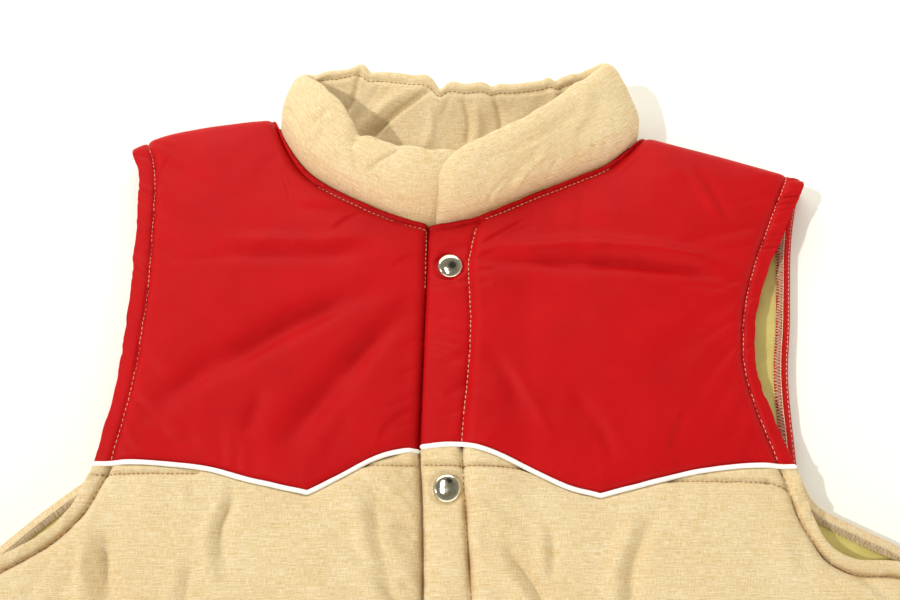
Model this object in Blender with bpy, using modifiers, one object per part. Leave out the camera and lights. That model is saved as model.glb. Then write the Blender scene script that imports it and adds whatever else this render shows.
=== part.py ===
"""Padded racing vest with a western yoke, laid flat on its back.

Millimetres in the tables, metres in the scene. +X is the wearer's left, +Y runs from hem to collar,
+Z is up from the surface that the vest lies on. The table origin is on the centre front, 54 mm below
the front neck seam; one empty carries every piece and centres the vest over its base.
"""

import math
from collections import namedtuple

import bmesh
import bpy
import numpy as np
from mathutils import Vector

for old in list(bpy.data.objects):
    bpy.data.objects.remove(old, do_unlink=True)

MM = 0.001

# ---------------------------------------------------------------- driving sizes, mm
CHEST_HALF = 264.0  # armpit to centre, laid flat
HEM_HALF = 256.0
HEM_Y = -490.0
ARMPIT_Y = -158.0
SEAM_GAP = 0.4  # between pieces at a seam
BACK_LOFT = 8.0  # padded back
LINING_WALL = 1.0
FACING_WALL = 1.0
FACING_WIDTH = 12.0
FRONT_Z = 11.0  # underside of the fronts, on the lining and facings
FRONT_LOFT = 15.0  # padded fronts
GAPE = 3.0  # the front armhole edge stands this much off the back
SEAM_Z = 4.7  # underside of the fronts where they are sewn to the back
PLACKET_LIFT = 5.6  # the wearer's left front lies over the right one here
PLACKET_WIDTH = 27.2
UNDERLAP_SHIFT = 26.0
PIPING_R = 1.8
PIPING_SPACE = 3.3  # from the piping's line to the cloth on each side, along Y
COLLAR_LOFT = 11.5
SNAP_R = 7.5
SNAP_HEIGHT = 3.4
SNAP_PITCH = 134.0
SNAP_TOP_Y = 22.8
SNAP_COUNT = 4

# ---------------------------------------------------------------- outlines, a row for each point
Pt = namedtuple("Pt", "x y")

SHOULDER = {  # armhole tip to neck point
    "right": [Pt(-209, 113), Pt(-176, 126), Pt(-140, 133), Pt(-117, 136)],
    "left": [Pt(228, 84), Pt(186, 103), Pt(156, 113), Pt(128, 122)],
}
FRONT_NECK = {  # neck point to centre front
    "right": [Pt(-117, 136), Pt(-105, 112), Pt(-90, 92), Pt(-68, 77), Pt(-37, 62), Pt(-14, 55), Pt(13, 53)],
    "left": [Pt(128, 122), Pt(105, 101), Pt(85, 91), Pt(51, 76), Pt(27, 64), Pt(9, 57), Pt(-13, 54)],
}
BACK_NECK = [Pt(-117, 136), Pt(-72, 112), Pt(-33, 104), Pt(3, 102), Pt(43, 103), Pt(82, 108), Pt(128, 122)]
FRONT_ARMHOLE = {  # piping to shoulder tip
    "right": [Pt(-196, -97.5), Pt(-191, -50), Pt(-191, 1), Pt(-194, 40), Pt(-199, 88), Pt(-209, 113)],
    "left": [Pt(190, -99), Pt(177.5, -52), Pt(179, -20), Pt(189, 12), Pt(208, 50), Pt(228, 84)],
}
FRONT_UNDERARM = {  # armpit to piping
    "right": [Pt(-264, -158), Pt(-237, -146), Pt(-216, -134), Pt(-204, -120), Pt(-196, -97.5)],
    "left": [Pt(264, -158), Pt(236, -149), Pt(211, -147), Pt(197, -134), Pt(190, -99)],
}
BACK_ARMHOLE = {  # back yoke seam to shoulder tip
    "right": [Pt(-190, -97), Pt(-186, -50), Pt(-187, 0), Pt(-191, 40), Pt(-198, 88), Pt(-209, 113)],
    "left": [Pt(195.5, -97), Pt(199, -46), Pt(206, -9), Pt(214, 38), Pt(221, 66), Pt(228, 84)],
}
BACK_UNDERARM = {  # armpit to back yoke seam
    "right": [Pt(-264, -158), Pt(-244, -139), Pt(-225, -121), Pt(-204, -104), Pt(-190, -97)],
    "left": [Pt(264, -158), Pt(244, -140), Pt(223, -129), Pt(203, -117), Pt(195.5, -97)],
}
YOKE_EDGE = {  # armhole to point, and point to centre front: the western yoke's line
    "right": (
        [Pt(-196, -97.5), Pt(-167, -97), Pt(-135, -100), Pt(-111, -106), Pt(-77, -113.5)],
        [Pt(-77, -113.5), Pt(-64, -107), Pt(-42, -95), Pt(-26, -90.5), Pt(-16, -90), Pt(9.5, -90)],
    ),
    "left": (
        [Pt(190, -99), Pt(160, -99), Pt(135, -102), Pt(113, -107), Pt(81, -115)],
        [Pt(81, -115), Pt(64, -110.5), Pt(46, -102), Pt(29, -94), Pt(8, -87.5), Pt(-16.5, -88)],
    ),
}
Edge = namedtuple("Edge", "y x")
PLACKET_EDGE = [  # the overlapping front edge
    Edge(HEM_Y, -13.5), Edge(-168, -13.5), Edge(-121, -14.5), Edge(-89, -16.5), Edge(-51, -15.5), Edge(10, -13.5), Edge(54, -13),
]

# padding of the fronts as shares of FRONT_LOFT, by distance from each edge
Pad = namedtuple("Pad", "d share")
PAD = {
    "seam": [Pad(0, 0.40), Pad(8, 0.62), Pad(20, 0.82), Pad(42, 1.0)],
    "armhole": [Pad(0, 0.34), Pad(6, 0.58), Pad(12.5, 0.38), Pad(21, 0.64), Pad(42, 0.94), Pad(65, 1.0)],
    "neck": [Pad(0, 0.46), Pad(7, 0.42), Pad(16, 0.72), Pad(36, 1.0)],
    "yoke_edge": [Pad(0, 0.52), Pad(9, 0.80), Pad(28, 1.0)],
    "hem": [Pad(0, 0.40), Pad(12, 0.50), Pad(22, 0.45), Pad(38, 0.86), Pad(70, 1.0)],
    "overlap": [Pad(0, 0.42), Pad(13, 0.52), Pad(PLACKET_WIDTH, 0.42), Pad(37, 0.74), Pad(62, 1.0)],
    "underlap": [Pad(0, 0.30), Pad(PLACKET_WIDTH, 0.30), Pad(35, 0.74), Pad(58, 1.0)],
}

# collar, a row for each section round the neck: seam point, rim point and its share of COLLAR_LOFT
Section = namedtuple("Section", "sx sy sz rx ry rz loft")
COLLAR = [
    Section(11, 66.5, 15, 12, 89, 42, 0.55),  # under end, centre front
    Section(-5, 66, 15.5, -3, 91, 45, 0.75),
    Section(-20, 63, 16.5, -14, 89.5, 46, 0.90),
    Section(-38, 65.5, 17, -28, 92.5, 46, 1.0),
    Section(-66, 79.5, 18, -53, 102, 45, 1.0),
    Section(-90, 95, 20, -72, 130, 44, 1.0),
    Section(-103, 112.5, 20, -84, 147, 38, 0.80),
    Section(-108, 128.5, 14, -94, 160, 31, 0.75),  # turn over the right shoulder
    Section(-98, 126.5, 9, -80, 168, 25.5, 0.85),
    Section(-70, 115, 8, -55.5, 167.5, 25, 0.95),
    Section(-33, 107, 8, -23, 162, 26, 1.0),
    Section(3, 105, 8, 3, 155, 27, 1.0),  # centre back
    Section(43, 106, 8, 42.5, 155, 27, 1.0),
    Section(80, 111, 8, 72, 159.5, 27, 0.95),
    Section(110, 119, 9, 93, 166.5, 26, 0.85),
    Section(119, 117, 16, 103, 166, 31, 0.78),  # turn over the left shoulder
    Section(109, 105, 22, 89, 150, 39.5, 0.92),
    Section(83, 92.5, 20, 69, 132, 45, 1.0),
    Section(50.5, 79, 18, 49, 113, 50, 1.0),
    Section(25, 67, 18, 24, 98.5, 50, 1.0),
    Section(6, 60, 19, 3.5, 87, 48, 0.80),
    Section(-8.5, 57.5, 20, -7, 76, 43, 0.55),  # upper end, centre front
]
Across = namedtuple("Across", "v loft")
COLLAR_ACROSS = [Across(0, 0.62), Across(0.22, 0.94), Across(0.5, 1.0), Across(0.75, 0.88), Across(0.91, 0.60), Across(1, 0.26)]

# ---------------------------------------------------------------- curves


def smooth(rows, steps=24):
    """A dense Catmull-Rom line through the rows."""
    p = np.array([tuple(r) for r in rows], float)
    if len(p) == 2:
        return np.linspace(p[0], p[1], steps + 1)
    ends = np.vstack([2 * p[0] - p[1], p, 2 * p[-1] - p[-2]])
    t = np.linspace(0, 1, steps, endpoint=False)[:, None]
    out = []
    for a, b, c, d in zip(ends[:-3], ends[1:-2], ends[2:-1], ends[3:]):
        out.append(0.5 * (2 * b + (c - a) * t + (2 * a - 5 * b + 4 * c - d) * t**2 + (3 * b - a - 3 * c + d) * t**3))
    return np.vstack(out + [p[-1:]])


def arc(line):
    return np.concatenate([[0], np.cumsum(np.linalg.norm(np.diff(line, axis=0), axis=1))])


def at(line, where):
    """Points of a line at these distances along it."""
    s = arc(line)
    return np.stack([np.interp(where, s, line[:, k]) for k in range(line.shape[1])], axis=1)


def nodes(line, start, middle, end):
    """Points of a line: at fixed distances from its start and its end, and evenly spread between them."""
    total = arc(line)[-1]
    first, last = list(start) or [0.0], [total - e for e in end] or [total]
    spread = list(np.linspace(first[-1], last[0], middle + 1)[1:-1])
    return at(line, np.array(first + spread + last))


def chain(*runs):
    """Runs of points that share their end points, as one."""
    return np.vstack([runs[0]] + [r[1:] for r in runs[1:]])


def away(points, line):
    """Distance of each point from a line."""
    a, d = line[:-1], np.diff(line, axis=0)
    rel = points[:, None, :] - a[None]
    t = np.clip((rel * d).sum(2) / np.maximum((d * d).sum(1), 1e-12), 0, 1)
    return np.linalg.norm(rel - t[..., None] * d, axis=2).min(1)


def inset(line, by):
    """A line moved to its left by a distance."""
    d = np.gradient(line, axis=0)
    n = np.stack([-d[:, 1], d[:, 0]], axis=1)
    return line + by * n / np.maximum(np.linalg.norm(n, axis=1), 1e-9)[:, None]


def table(rows, d):
    cols = np.array([tuple(r) for r in rows], float)
    return np.interp(d, cols[:, 0], cols[:, 1])


def ease(t):
    t = np.clip(t, 0, 1)
    return t * t * (3 - 2 * t)


def placket_x(y):
    cols = np.array([tuple(r) for r in PLACKET_EDGE], float)
    return np.interp(y, cols[:, 0], cols[:, 1])


# ---------------------------------------------------------------- scene helpers
vest = bpy.data.collections.new("racing_vest")
bpy.context.scene.collection.children.link(vest)
carrier = bpy.data.objects.new("vest_frame", None)
vest.objects.link(carrier)


def material(name, colour, roughness, metallic=0.0):
    m = bpy.data.materials.new(name)
    m.use_nodes = True
    shader = m.node_tree.nodes["Principled BSDF"]
    shader.inputs["Base Color"].default_value = (*colour, 1)
    shader.inputs["Roughness"].default_value = roughness
    shader.inputs["Metallic"].default_value = metallic
    return m


RED = material("red_nylon", (0.62, 0.012, 0.016), 0.45)
BEIGE = material("beige_slub", (0.72, 0.52, 0.27), 0.85)
OLIVE = material("olive_lining", (0.55, 0.48, 0.16), 0.6)
WHITE = material("white_piping", (0.9, 0.9, 0.88), 0.5)
STEEL = material("snap_steel", (0.75, 0.73, 0.68), 0.15, 1.0)


def keep(name, data, mat):
    obj = bpy.data.objects.new(name, data)
    data.materials.append(mat)
    vest.objects.link(obj)
    obj.parent = carrier
    return obj


def patch(bottom, top, left, right):
    """Plan points of a four-sided piece from the nodes on its sides: [across, along, xy]."""
    u = (arc(bottom) / arc(bottom)[-1] + arc(top) / arc(top)[-1])[:, None, None] / 2
    v = (arc(left) / arc(left)[-1] + arc(right) / arc(right)[-1])[None, :, None] / 2
    u, v = (w * w * w * (w * (6 * w - 15) + 10) for w in (u, v))  # so a far side hardly moves the nodes by a near one
    b, t, l, r = bottom[:, None], top[:, None], left[None], right[None]
    corner = (1 - u) * (1 - v) * bottom[0] + u * (1 - v) * bottom[-1] + (1 - u) * v * top[0] + u * v * top[-1]
    return (1 - v) * b + v * t + (1 - u) * l + u * r - corner


def cloth(name, surface, wall, share, mat, offset=1.0):
    """A cloth wall on a grid: surface is [across, along, xyz], and share its padding at each point."""
    nu, nv = surface.shape[0] - 1, surface.shape[1] - 1
    bm = bmesh.new()
    bmesh.ops.create_grid(bm, x_segments=nu, y_segments=nv, size=1)
    weight = bm.verts.layers.deform.verify()
    for vert in bm.verts:
        i, j = round((vert.co.x + 1) / 2 * nu), round((vert.co.y + 1) / 2 * nv)
        vert.co = Vector(surface[i, j]) * MM
        vert[weight][0] = float(share[i, j])
    mesh = bpy.data.meshes.new(name)
    bm.to_mesh(mesh)
    bm.free()
    obj = keep(name, mesh, mat)
    obj.vertex_groups.new(name="padding")
    mesh.shade_smooth()
    solid = obj.modifiers.new("wall", "SOLIDIFY")
    solid.thickness = wall * MM
    solid.offset = offset
    solid.use_even_offset = False
    solid.vertex_group = "padding"
    return obj


def up_facing(plan):
    """The plan with its grid turned so that its normals point up."""
    a, b = plan[1, 0] - plan[0, 0], plan[0, 1] - plan[0, 0]
    return plan if a[0] * b[1] - a[1] * b[0] > 0 else plan[::-1]


# ---------------------------------------------------------------- fronts
SIDE = {
    "right": smooth([Pt(-HEM_HALF, HEM_Y), Pt(-CHEST_HALF, ARMPIT_Y)]),
    "left": smooth([Pt(HEM_HALF, HEM_Y), Pt(CHEST_HALF, ARMPIT_Y)]),
}


def front_sizes(side, points):
    """Underside height and padding share of a front at plan points."""
    seam = np.minimum(away(points, SIDE[side]), away(points, smooth(SHOULDER[side])))
    armhole = away(points, np.vstack([smooth(FRONT_UNDERARM[side]), smooth(FRONT_ARMHOLE[side])]))
    low = FRONT_Z + GAPE * (1 - ease(armhole / 45))
    low = SEAM_Z + (low - SEAM_Z) * np.sqrt(1 - (1 - np.clip(seam / 12, 0, 1)) ** 2)
    share = np.minimum(table(PAD["seam"], seam), table(PAD["armhole"], armhole))
    share = np.minimum(share, table(PAD["neck"], away(points, smooth(FRONT_NECK[side]))))
    share = np.minimum(share, table(PAD["hem"], points[:, 1] - HEM_Y))
    share = np.minimum(share, table(PAD["yoke_edge"], away(points, np.vstack([smooth(r) for r in YOKE_EDGE[side]]))))
    over = points[:, 0] - placket_x(points[:, 1])
    if side == "left":
        share = np.minimum(share, table(PAD["overlap"], over))
        low = low + PLACKET_LIFT * ease((37 - over) / 9)
    else:
        share = np.minimum(share, table(PAD["underlap"], UNDERLAP_SHIFT - over))
    return low, share


def edge_run(side, shift):
    """The yoke's line as two runs, moved along Y by shift; under the placket the two layers close up."""
    runs = []
    for rows in YOKE_EDGE[side]:
        line = smooth(rows)
        if side == "right":
            line = line + np.stack([0 * line[:, 0], np.sign(shift) * SEAM_GAP / 2 + (shift - np.sign(shift) * SEAM_GAP / 2) * ease((-17 - line[:, 0]) / 6)], axis=1)
        else:
            line = line + np.array([0, shift])
        runs.append(line)
    return runs


ARM_NODES = [0, 6, 12.5, 21]
CF_NODES = {"left": [37, PLACKET_WIDTH, 13, 0], "right": [35, PLACKET_WIDTH, 13, 0]}


def across(first, second, side):
    return chain(nodes(first, ARM_NODES, 5, [0]), nodes(second, [0, 9], 5, CF_NODES[side]))


def front_edge(side, low_y, high_y):
    y = np.linspace(low_y, high_y, 60)
    return np.stack([placket_x(y) + (UNDERLAP_SHIFT if side == "right" else 0), y], axis=1)


def front(side):
    lower, upper = edge_run(side, -PIPING_SPACE), edge_run(side, PIPING_SPACE)
    # yoke, from the piping up to shoulder and neck
    bottom = across(upper[0], upper[1], side)
    top = across(smooth(SHOULDER[side]), smooth(FRONT_NECK[side]), side)
    arm = smooth(FRONT_ARMHOLE[side])
    left = nodes(np.vstack([bottom[:1], arm[arm[:, 1] > bottom[0, 1] + 2]]), [0, 9], 9, [16, 7, 0])
    right = nodes(np.vstack([bottom[-1:], top[-1:]]), [0, 9], 9, [16, 7, 0])
    yoke = patch(bottom, top, left, right)
    # body, from the hem up to the piping
    top = across(lower[0], lower[1], side)
    hem = np.array([[math.copysign(HEM_HALF, bottom[0, 0]), HEM_Y], front_edge(side, HEM_Y, 0)[0]])
    split = arc(top) / arc(top)[-1]
    half = len(ARM_NODES) + 4
    corner = hem[0] + (hem[1] - hem[0]) * split[half]
    hem_run = across(np.array([hem[0], corner]), np.array([corner, hem[1]]), side)
    under = smooth(FRONT_UNDERARM[side])
    under = np.vstack([under[under[:, 1] < top[0, 1] - 2], top[:1]])
    left = chain(nodes(SIDE[side], [0, 12, 22], 8, [0]), nodes(under, [0], 5, [9, 0]))
    cf = front_edge(side, HEM_Y, top[-1, 1])
    cf[-1] = top[-1]
    level = np.interp(left[:, 1], [HEM_Y, ARMPIT_Y, top[0, 1]], [0, 0.80 * arc(cf)[-1], arc(cf)[-1]])
    level[[1, 2, -2]] = 12, 22, arc(cf)[-1] - 9
    body = patch(hem_run, top, left, at(cf, np.sort(level)))
    for kind, plan, mat in (("yoke", yoke, RED), ("body", body, BEIGE)):
        plan = up_facing(plan)
        flat = plan.reshape(-1, 2)
        low, share = front_sizes(side, flat)
        surface = np.column_stack([flat, low]).reshape(*plan.shape[:2], 3)
        cloth(f"front_{side}_{kind}", surface, FRONT_LOFT, share.reshape(plan.shape[:2]), mat)


def front_top(side, points):
    low, share = front_sizes(side, points)
    return low + FRONT_LOFT * share


front("right")
front("left")

# ---------------------------------------------------------------- back
BACK_EDGE_Y = -97.0


def back_share(points):
    seam = np.minimum(
        np.minimum(away(points, SIDE["right"]), away(points, SIDE["left"])),
        np.minimum(away(points, smooth(SHOULDER["right"])), away(points, smooth(SHOULDER["left"]))),
    )
    share = 0.45 + 0.55 * np.sqrt(1 - (1 - np.clip(seam / 20, 0, 1)) ** 2)
    hem = 0.45 + 0.55 * np.sqrt(1 - (1 - np.clip((points[:, 1] - HEM_Y) / 14, 0, 1)) ** 2)
    arm = np.full(len(points), 1e3)
    for side in ("right", "left"):
        arm = np.minimum(arm, away(points, np.vstack([smooth(BACK_UNDERARM[side]), smooth(BACK_ARMHOLE[side])])))
    arm = 0.6 + 0.4 * np.sqrt(1 - (1 - np.clip(arm / 8, 0, 1)) ** 2)
    return np.minimum(np.minimum(share, hem), arm)


def back_piece(name, plan, mat):
    plan = up_facing(plan)
    flat = plan.reshape(-1, 2)
    surface = np.column_stack([flat, np.zeros(len(flat))]).reshape(*plan.shape[:2], 3)
    cloth(name, surface, BACK_LOFT, back_share(flat).reshape(plan.shape[:2]), mat)


EDGE_NODES = [0, 7, 15]


def back():
    seam_r, seam_l = np.array(BACK_ARMHOLE["right"][0]), np.array(BACK_ARMHOLE["left"][0])
    neck = smooth(BACK_NECK)
    # yoke
    top = chain(
        nodes(smooth(SHOULDER["right"]), EDGE_NODES, 3, [0]),
        nodes(neck, [0], 6, [0]),
        nodes(smooth(SHOULDER["left"])[::-1], [0], 3, EDGE_NODES[::-1]),
    )
    share = arc(top) / arc(top)[-1]
    lift = np.array([0, SEAM_GAP / 2])
    bottom = (seam_r + (seam_l - seam_r) * share[:, None]) + lift
    ups = {s: np.vstack([(a + lift)[None], smooth(BACK_ARMHOLE[s])[1:]]) for s, a in (("right", seam_r), ("left", seam_l))}
    sides = [nodes(ups[s], [0], 7, EDGE_NODES[::-1]) for s in ("right", "left")]
    back_piece("back_yoke", patch(bottom, top, *sides), RED)
    # body
    spread = np.linspace(0, 1, 13)[1:-1]
    hem_len = 2 * HEM_HALF
    share = np.concatenate([np.array(EDGE_NODES) / hem_len, spread[1:-1], 1 - np.array(EDGE_NODES[::-1]) / hem_len])
    bottom = np.stack([-HEM_HALF + hem_len * share, np.full(len(share), HEM_Y)], axis=1)
    top = seam_r - lift + (seam_l - seam_r) * share[:, None]
    sides = []
    for s, a in (("right", seam_r), ("left", seam_l)):
        under = np.vstack([smooth(BACK_UNDERARM[s])[:-1], (a - lift)[None]])
        sides.append(chain(nodes(SIDE[s], EDGE_NODES, 6, [0]), nodes(under, [0], 4, [0])))
    back_piece("back_body", patch(bottom, top, *sides), BEIGE)


back()

# ---------------------------------------------------------------- lining and armhole facings, on the inside of the back
LINING_Z = BACK_LOFT + 0.4
FACING_Z = LINING_Z + LINING_WALL + 0.3
LINING_INSET = 16.0


def armhole_line(side):
    """The back armhole from armpit to shoulder tip, and the way to its cloth as a sign for inset()."""
    line = np.vstack([smooth(BACK_UNDERARM[side]), smooth(BACK_ARMHOLE[side])[1:]])
    return line, (-1 if side == "right" else 1)


def lining():
    sides = []
    for s in ("right", "left"):
        line, sign = armhole_line(s)
        out = -1 if s == "right" else 1
        edge = inset(line, 11 * sign)
        edge = edge[(edge[:, 1] > ARMPIT_Y + 4) & (edge[:, 1] < line[-1, 1] - 22) & (np.abs(edge[:, 0]) < CHEST_HALF - 22)]
        foot = np.array([out * (HEM_HALF - LINING_INSET), HEM_Y + LINING_INSET])
        pit = np.array([out * (CHEST_HALF - 22), ARMPIT_Y - 4])
        sides.append(chain(nodes(np.array([foot, pit]), [0], 5, [0]), nodes(np.vstack([pit[None], edge]), [0], 9, [0])))
    neck = smooth(BACK_NECK)
    low_neck = inset(neck, -14)
    mid = low_neck[(low_neck[:, 0] > -96) & (low_neck[:, 0] < 104)]
    top = np.vstack([sides[0][-1:], mid, sides[1][-1:]])
    top = chain(nodes(top[: len(mid) // 2 + 1], [0], 5, [0]), nodes(top[len(mid) // 2 :], [0], 5, [0]))
    share = (arc(top) / arc(top)[-1])[:, None]
    bottom = sides[0][0] + (sides[1][0] - sides[0][0]) * share
    plan = up_facing(patch(bottom, top, *sides))
    flat = plan.reshape(-1, 2)
    surface = np.column_stack([flat, np.full(len(flat), LINING_Z)]).reshape(*plan.shape[:2], 3)
    cloth("lining_back", surface, LINING_WALL, np.ones(plan.shape[:2]), OLIVE)


def facing(side):
    line, sign = armhole_line(side)
    s = arc(line)
    split = s[np.argmax(line[:, 1] >= BACK_EDGE_Y)]
    for kind, start, end, count, mat in (("body", 16.0, split - SEAM_GAP / 2, 7, BEIGE), ("yoke", split + SEAM_GAP / 2, s[-1] - 17.0, 12, RED)):
        where = np.linspace(start, end, count + 1)
        rails = [at(inset(line, sign * d), np.interp(where, s, arc(inset(line, sign * d)))) for d in (1.0, 1.0 + FACING_WIDTH)]
        plan = up_facing(np.stack(rails, axis=0))
        surface = np.concatenate([plan, np.full((*plan.shape[:2], 1), FACING_Z)], axis=2)
        cloth(f"facing_{side}_{kind}", surface, FACING_WALL, np.ones(plan.shape[:2]), mat)


lining()
facing("right")
facing("left")

# ---------------------------------------------------------------- collar


def collar():
    rows = np.array([tuple(r) for r in COLLAR], float)
    dense = smooth(rows, 12)
    s = arc(dense[:, :3]) + arc(dense[:, 3:6])
    where = np.linspace(0, s[-1], 61)
    rings = np.stack([np.interp(where, s, dense[:, k]) for k in range(7)], axis=1)
    surface = np.stack([rings[:, :3] + (rings[:, 3:6] - rings[:, :3]) * a.v for a in COLLAR_ACROSS], axis=1)
    share = np.stack([rings[:, 6] * a.loft for a in COLLAR_ACROSS], axis=1)
    cloth("collar", surface, COLLAR_LOFT, share, BEIGE, offset=0.0)


collar()

# ---------------------------------------------------------------- piping


def piping(side):
    first, second = (smooth(r) for r in YOKE_EDGE[side])
    if side == "right":
        second = second[second[:, 0] < -19]
    plan = chain(nodes(first, [0.6], 15, [0]), nodes(second, [0], 15, [0.6]))
    above = front_top(side, plan + [0, PIPING_SPACE])
    below = front_top(side, plan - [0, PIPING_SPACE])
    height = np.maximum(above, below) + 0.1
    curve = bpy.data.curves.new(f"piping_{side}", "CURVE")
    curve.dimensions = "3D"
    curve.bevel_depth = PIPING_R * MM
    curve.bevel_resolution = 1
    curve.use_fill_caps = True
    spline = curve.splines.new("POLY")
    spline.points.add(len(plan) - 1)
    for point, (x, y), z in zip(spline.points, plan, height):
        point.co = (x * MM, y * MM, z * MM, 1)
    keep(f"piping_{side}", curve, WHITE)


piping("right")
piping("left")

# ---------------------------------------------------------------- snaps
SnapProfile = namedtuple("SnapProfile", "r z")
SNAP_PROFILE = [SnapProfile(0, 1.0), SnapProfile(0.36, 0.94), SnapProfile(0.68, 0.74), SnapProfile(0.90, 0.46), SnapProfile(1.0, 0.16), SnapProfile(0.97, 0.0), SnapProfile(0, 0.0)]


def snap(number):
    y = SNAP_TOP_Y - number * SNAP_PITCH
    x = float(placket_x(y)) + 13.5
    ring = np.array([[x + SNAP_R * math.cos(a), y + SNAP_R * math.sin(a)] for a in np.linspace(0, 2 * math.pi, 16)] + [[x, y]])
    z = float(front_top("left", ring).max()) + 0.35
    mesh = bpy.data.meshes.new(f"snap_{number + 1}")
    bm = bmesh.new()
    points = [bm.verts.new((p.r * SNAP_R * MM, 0, p.z * SNAP_HEIGHT * MM)) for p in SNAP_PROFILE]
    for a, b in zip(points, points[1:]):
        bm.edges.new((a, b))
    bm.to_mesh(mesh)
    bm.free()
    obj = keep(f"snap_{number + 1}", mesh, STEEL)
    obj.location = Vector((x, y, z)) * MM
    turn = obj.modifiers.new("turn", "SCREW")
    turn.steps = turn.render_steps = 18
    turn.use_merge_vertices = True
    turn.merge_threshold = 0.00005
    mesh.shade_smooth()


for n in range(SNAP_COUNT):
    snap(n)

# ---------------------------------------------------------------- centre the vest over its base
bpy.context.view_layer.update()
graph = bpy.context.evaluated_depsgraph_get()
low, high = np.full(3, 1e9), np.full(3, -1e9)
for obj in vest.objects:
    if obj.type in ("MESH", "CURVE"):
        shown = obj.evaluated_get(graph)
        mesh = shown.to_mesh()
        co = np.array([shown.matrix_world @ v.co for v in mesh.vertices])
        low, high = np.minimum(low, co.min(0)), np.maximum(high, co.max(0))
        shown.to_mesh_clear()
carrier.location = (-(low[0] + high[0]) / 2, -(low[1] + high[1]) / 2, -low[2])
bpy.context.view_layer.update()
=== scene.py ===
"""Looks of the padded racing vest: quilted cloth panels, stitching, piping, snaps, light and camera.

Tables are in millimetres in the garment's own axes: +X the wearer's left, +Y hem to collar, +Z up.
"""

import math
from collections import namedtuple

import bpy
import numpy as np
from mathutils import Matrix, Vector
from mathutils.bvhtree import BVHTree


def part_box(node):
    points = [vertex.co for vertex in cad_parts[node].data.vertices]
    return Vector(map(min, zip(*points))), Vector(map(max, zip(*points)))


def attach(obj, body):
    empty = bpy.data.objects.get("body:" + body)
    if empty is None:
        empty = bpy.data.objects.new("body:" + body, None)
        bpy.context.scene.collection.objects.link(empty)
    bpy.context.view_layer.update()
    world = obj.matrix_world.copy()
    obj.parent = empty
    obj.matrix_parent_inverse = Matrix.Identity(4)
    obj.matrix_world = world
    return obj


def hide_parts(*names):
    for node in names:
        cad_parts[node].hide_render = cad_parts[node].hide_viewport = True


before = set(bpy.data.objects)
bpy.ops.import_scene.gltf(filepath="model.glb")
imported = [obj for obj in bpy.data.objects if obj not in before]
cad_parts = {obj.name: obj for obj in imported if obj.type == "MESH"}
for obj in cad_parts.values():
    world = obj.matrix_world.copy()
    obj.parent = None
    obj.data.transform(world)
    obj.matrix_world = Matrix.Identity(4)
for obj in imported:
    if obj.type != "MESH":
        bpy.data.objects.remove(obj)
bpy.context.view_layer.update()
MM = 0.001
FINE = 1.0

# ---------------------------------------------------------------- sizes shared with the part, mm
CHEST_HALF, HEM_HALF, HEM_Y, ARMPIT_Y = 264.0, 256.0, -490.0, -158.0
FRONT_Z, FRONT_LOFT, GAPE, SEAM_Z = 11.0, 15.0, 3.0, 4.7
PLACKET_LIFT, UNDERLAP_SHIFT, PLACKET_WIDTH = 4.4, 26.0, 27.2
BACK_LOFT = 8.0
PIPING_R = 1.4
COLLAR_LOFT = 12.0
SNAP_R, SNAP_HEIGHT, SNAP_PITCH, SNAP_TOP_Y, SNAP_COUNT = 7.8, 3.4, 134.0, 22.8, 4
SHIFT = np.array([0.0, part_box("back_body")[0][1] / MM - HEM_Y, 0.0])

Pt = namedtuple("Pt", "x y")
SHOULDER = {
    "right": [Pt(-209, 113), Pt(-176, 126), Pt(-140, 133), Pt(-117, 136)],
    "left": [Pt(228.5, 88.5), Pt(212, 93.5), Pt(186, 103), Pt(156, 113), Pt(128, 122)],
}
FRONT_NECK = {
    "right": [Pt(-117, 136), Pt(-105, 112), Pt(-90, 92), Pt(-68, 77), Pt(-37, 62), Pt(-14, 55), Pt(13, 53)],
    "left": [Pt(128, 122), Pt(105, 101), Pt(85, 91), Pt(51, 76), Pt(27, 64), Pt(9, 57), Pt(-13, 54)],
}
BACK_NECK = [Pt(-117, 136), Pt(-72, 112), Pt(-33, 104), Pt(3, 102), Pt(43, 103), Pt(82, 108), Pt(128, 122)]
FRONT_ARMHOLE = {
    "right": [Pt(-196, -97.5), Pt(-191, -50), Pt(-191, 1), Pt(-194, 40), Pt(-199, 88), Pt(-209, 113)],
    "left": [Pt(190, -99), Pt(177.5, -52), Pt(179, -20), Pt(189, 12), Pt(208, 50), Pt(228.5, 88.5)],
}
FRONT_UNDERARM = {
    "right": [Pt(-264, -158), Pt(-237, -146), Pt(-216, -134), Pt(-204, -120), Pt(-196, -97.5)],
    "left": [Pt(264, -158), Pt(236, -149), Pt(211, -147), Pt(197, -134), Pt(190, -99)],
}
BACK_ARMHOLE = {
    "right": [Pt(-190, -97), Pt(-186, -50), Pt(-187, 0), Pt(-191, 40), Pt(-198, 88), Pt(-209, 113)],
    "left": [Pt(195.5, -97), Pt(199, -46), Pt(206, -9), Pt(214, 38), Pt(221, 66), Pt(228.5, 88.5)],
}
BACK_UNDERARM = {
    "right": [Pt(-264, -158), Pt(-244, -139), Pt(-225, -121), Pt(-204, -104), Pt(-190, -97)],
    "left": [Pt(264, -158), Pt(244, -140), Pt(223, -129), Pt(203, -117), Pt(195.5, -97)],
}
YOKE_EDGE = {
    "right": (
        [Pt(-196, -97.5), Pt(-167, -97), Pt(-135, -100), Pt(-111, -106), Pt(-77, -113.5)],
        [Pt(-77, -113.5), Pt(-64, -107), Pt(-42, -95), Pt(-26, -90.5), Pt(-16, -90), Pt(9.5, -90)],
    ),
    "left": (
        [Pt(190, -99), Pt(160, -99), Pt(135, -102), Pt(113, -107), Pt(81, -115)],
        [Pt(81, -115), Pt(64, -110.5), Pt(46, -102), Pt(29, -94), Pt(8, -87.5), Pt(-16.5, -88)],
    ),
}
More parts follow.
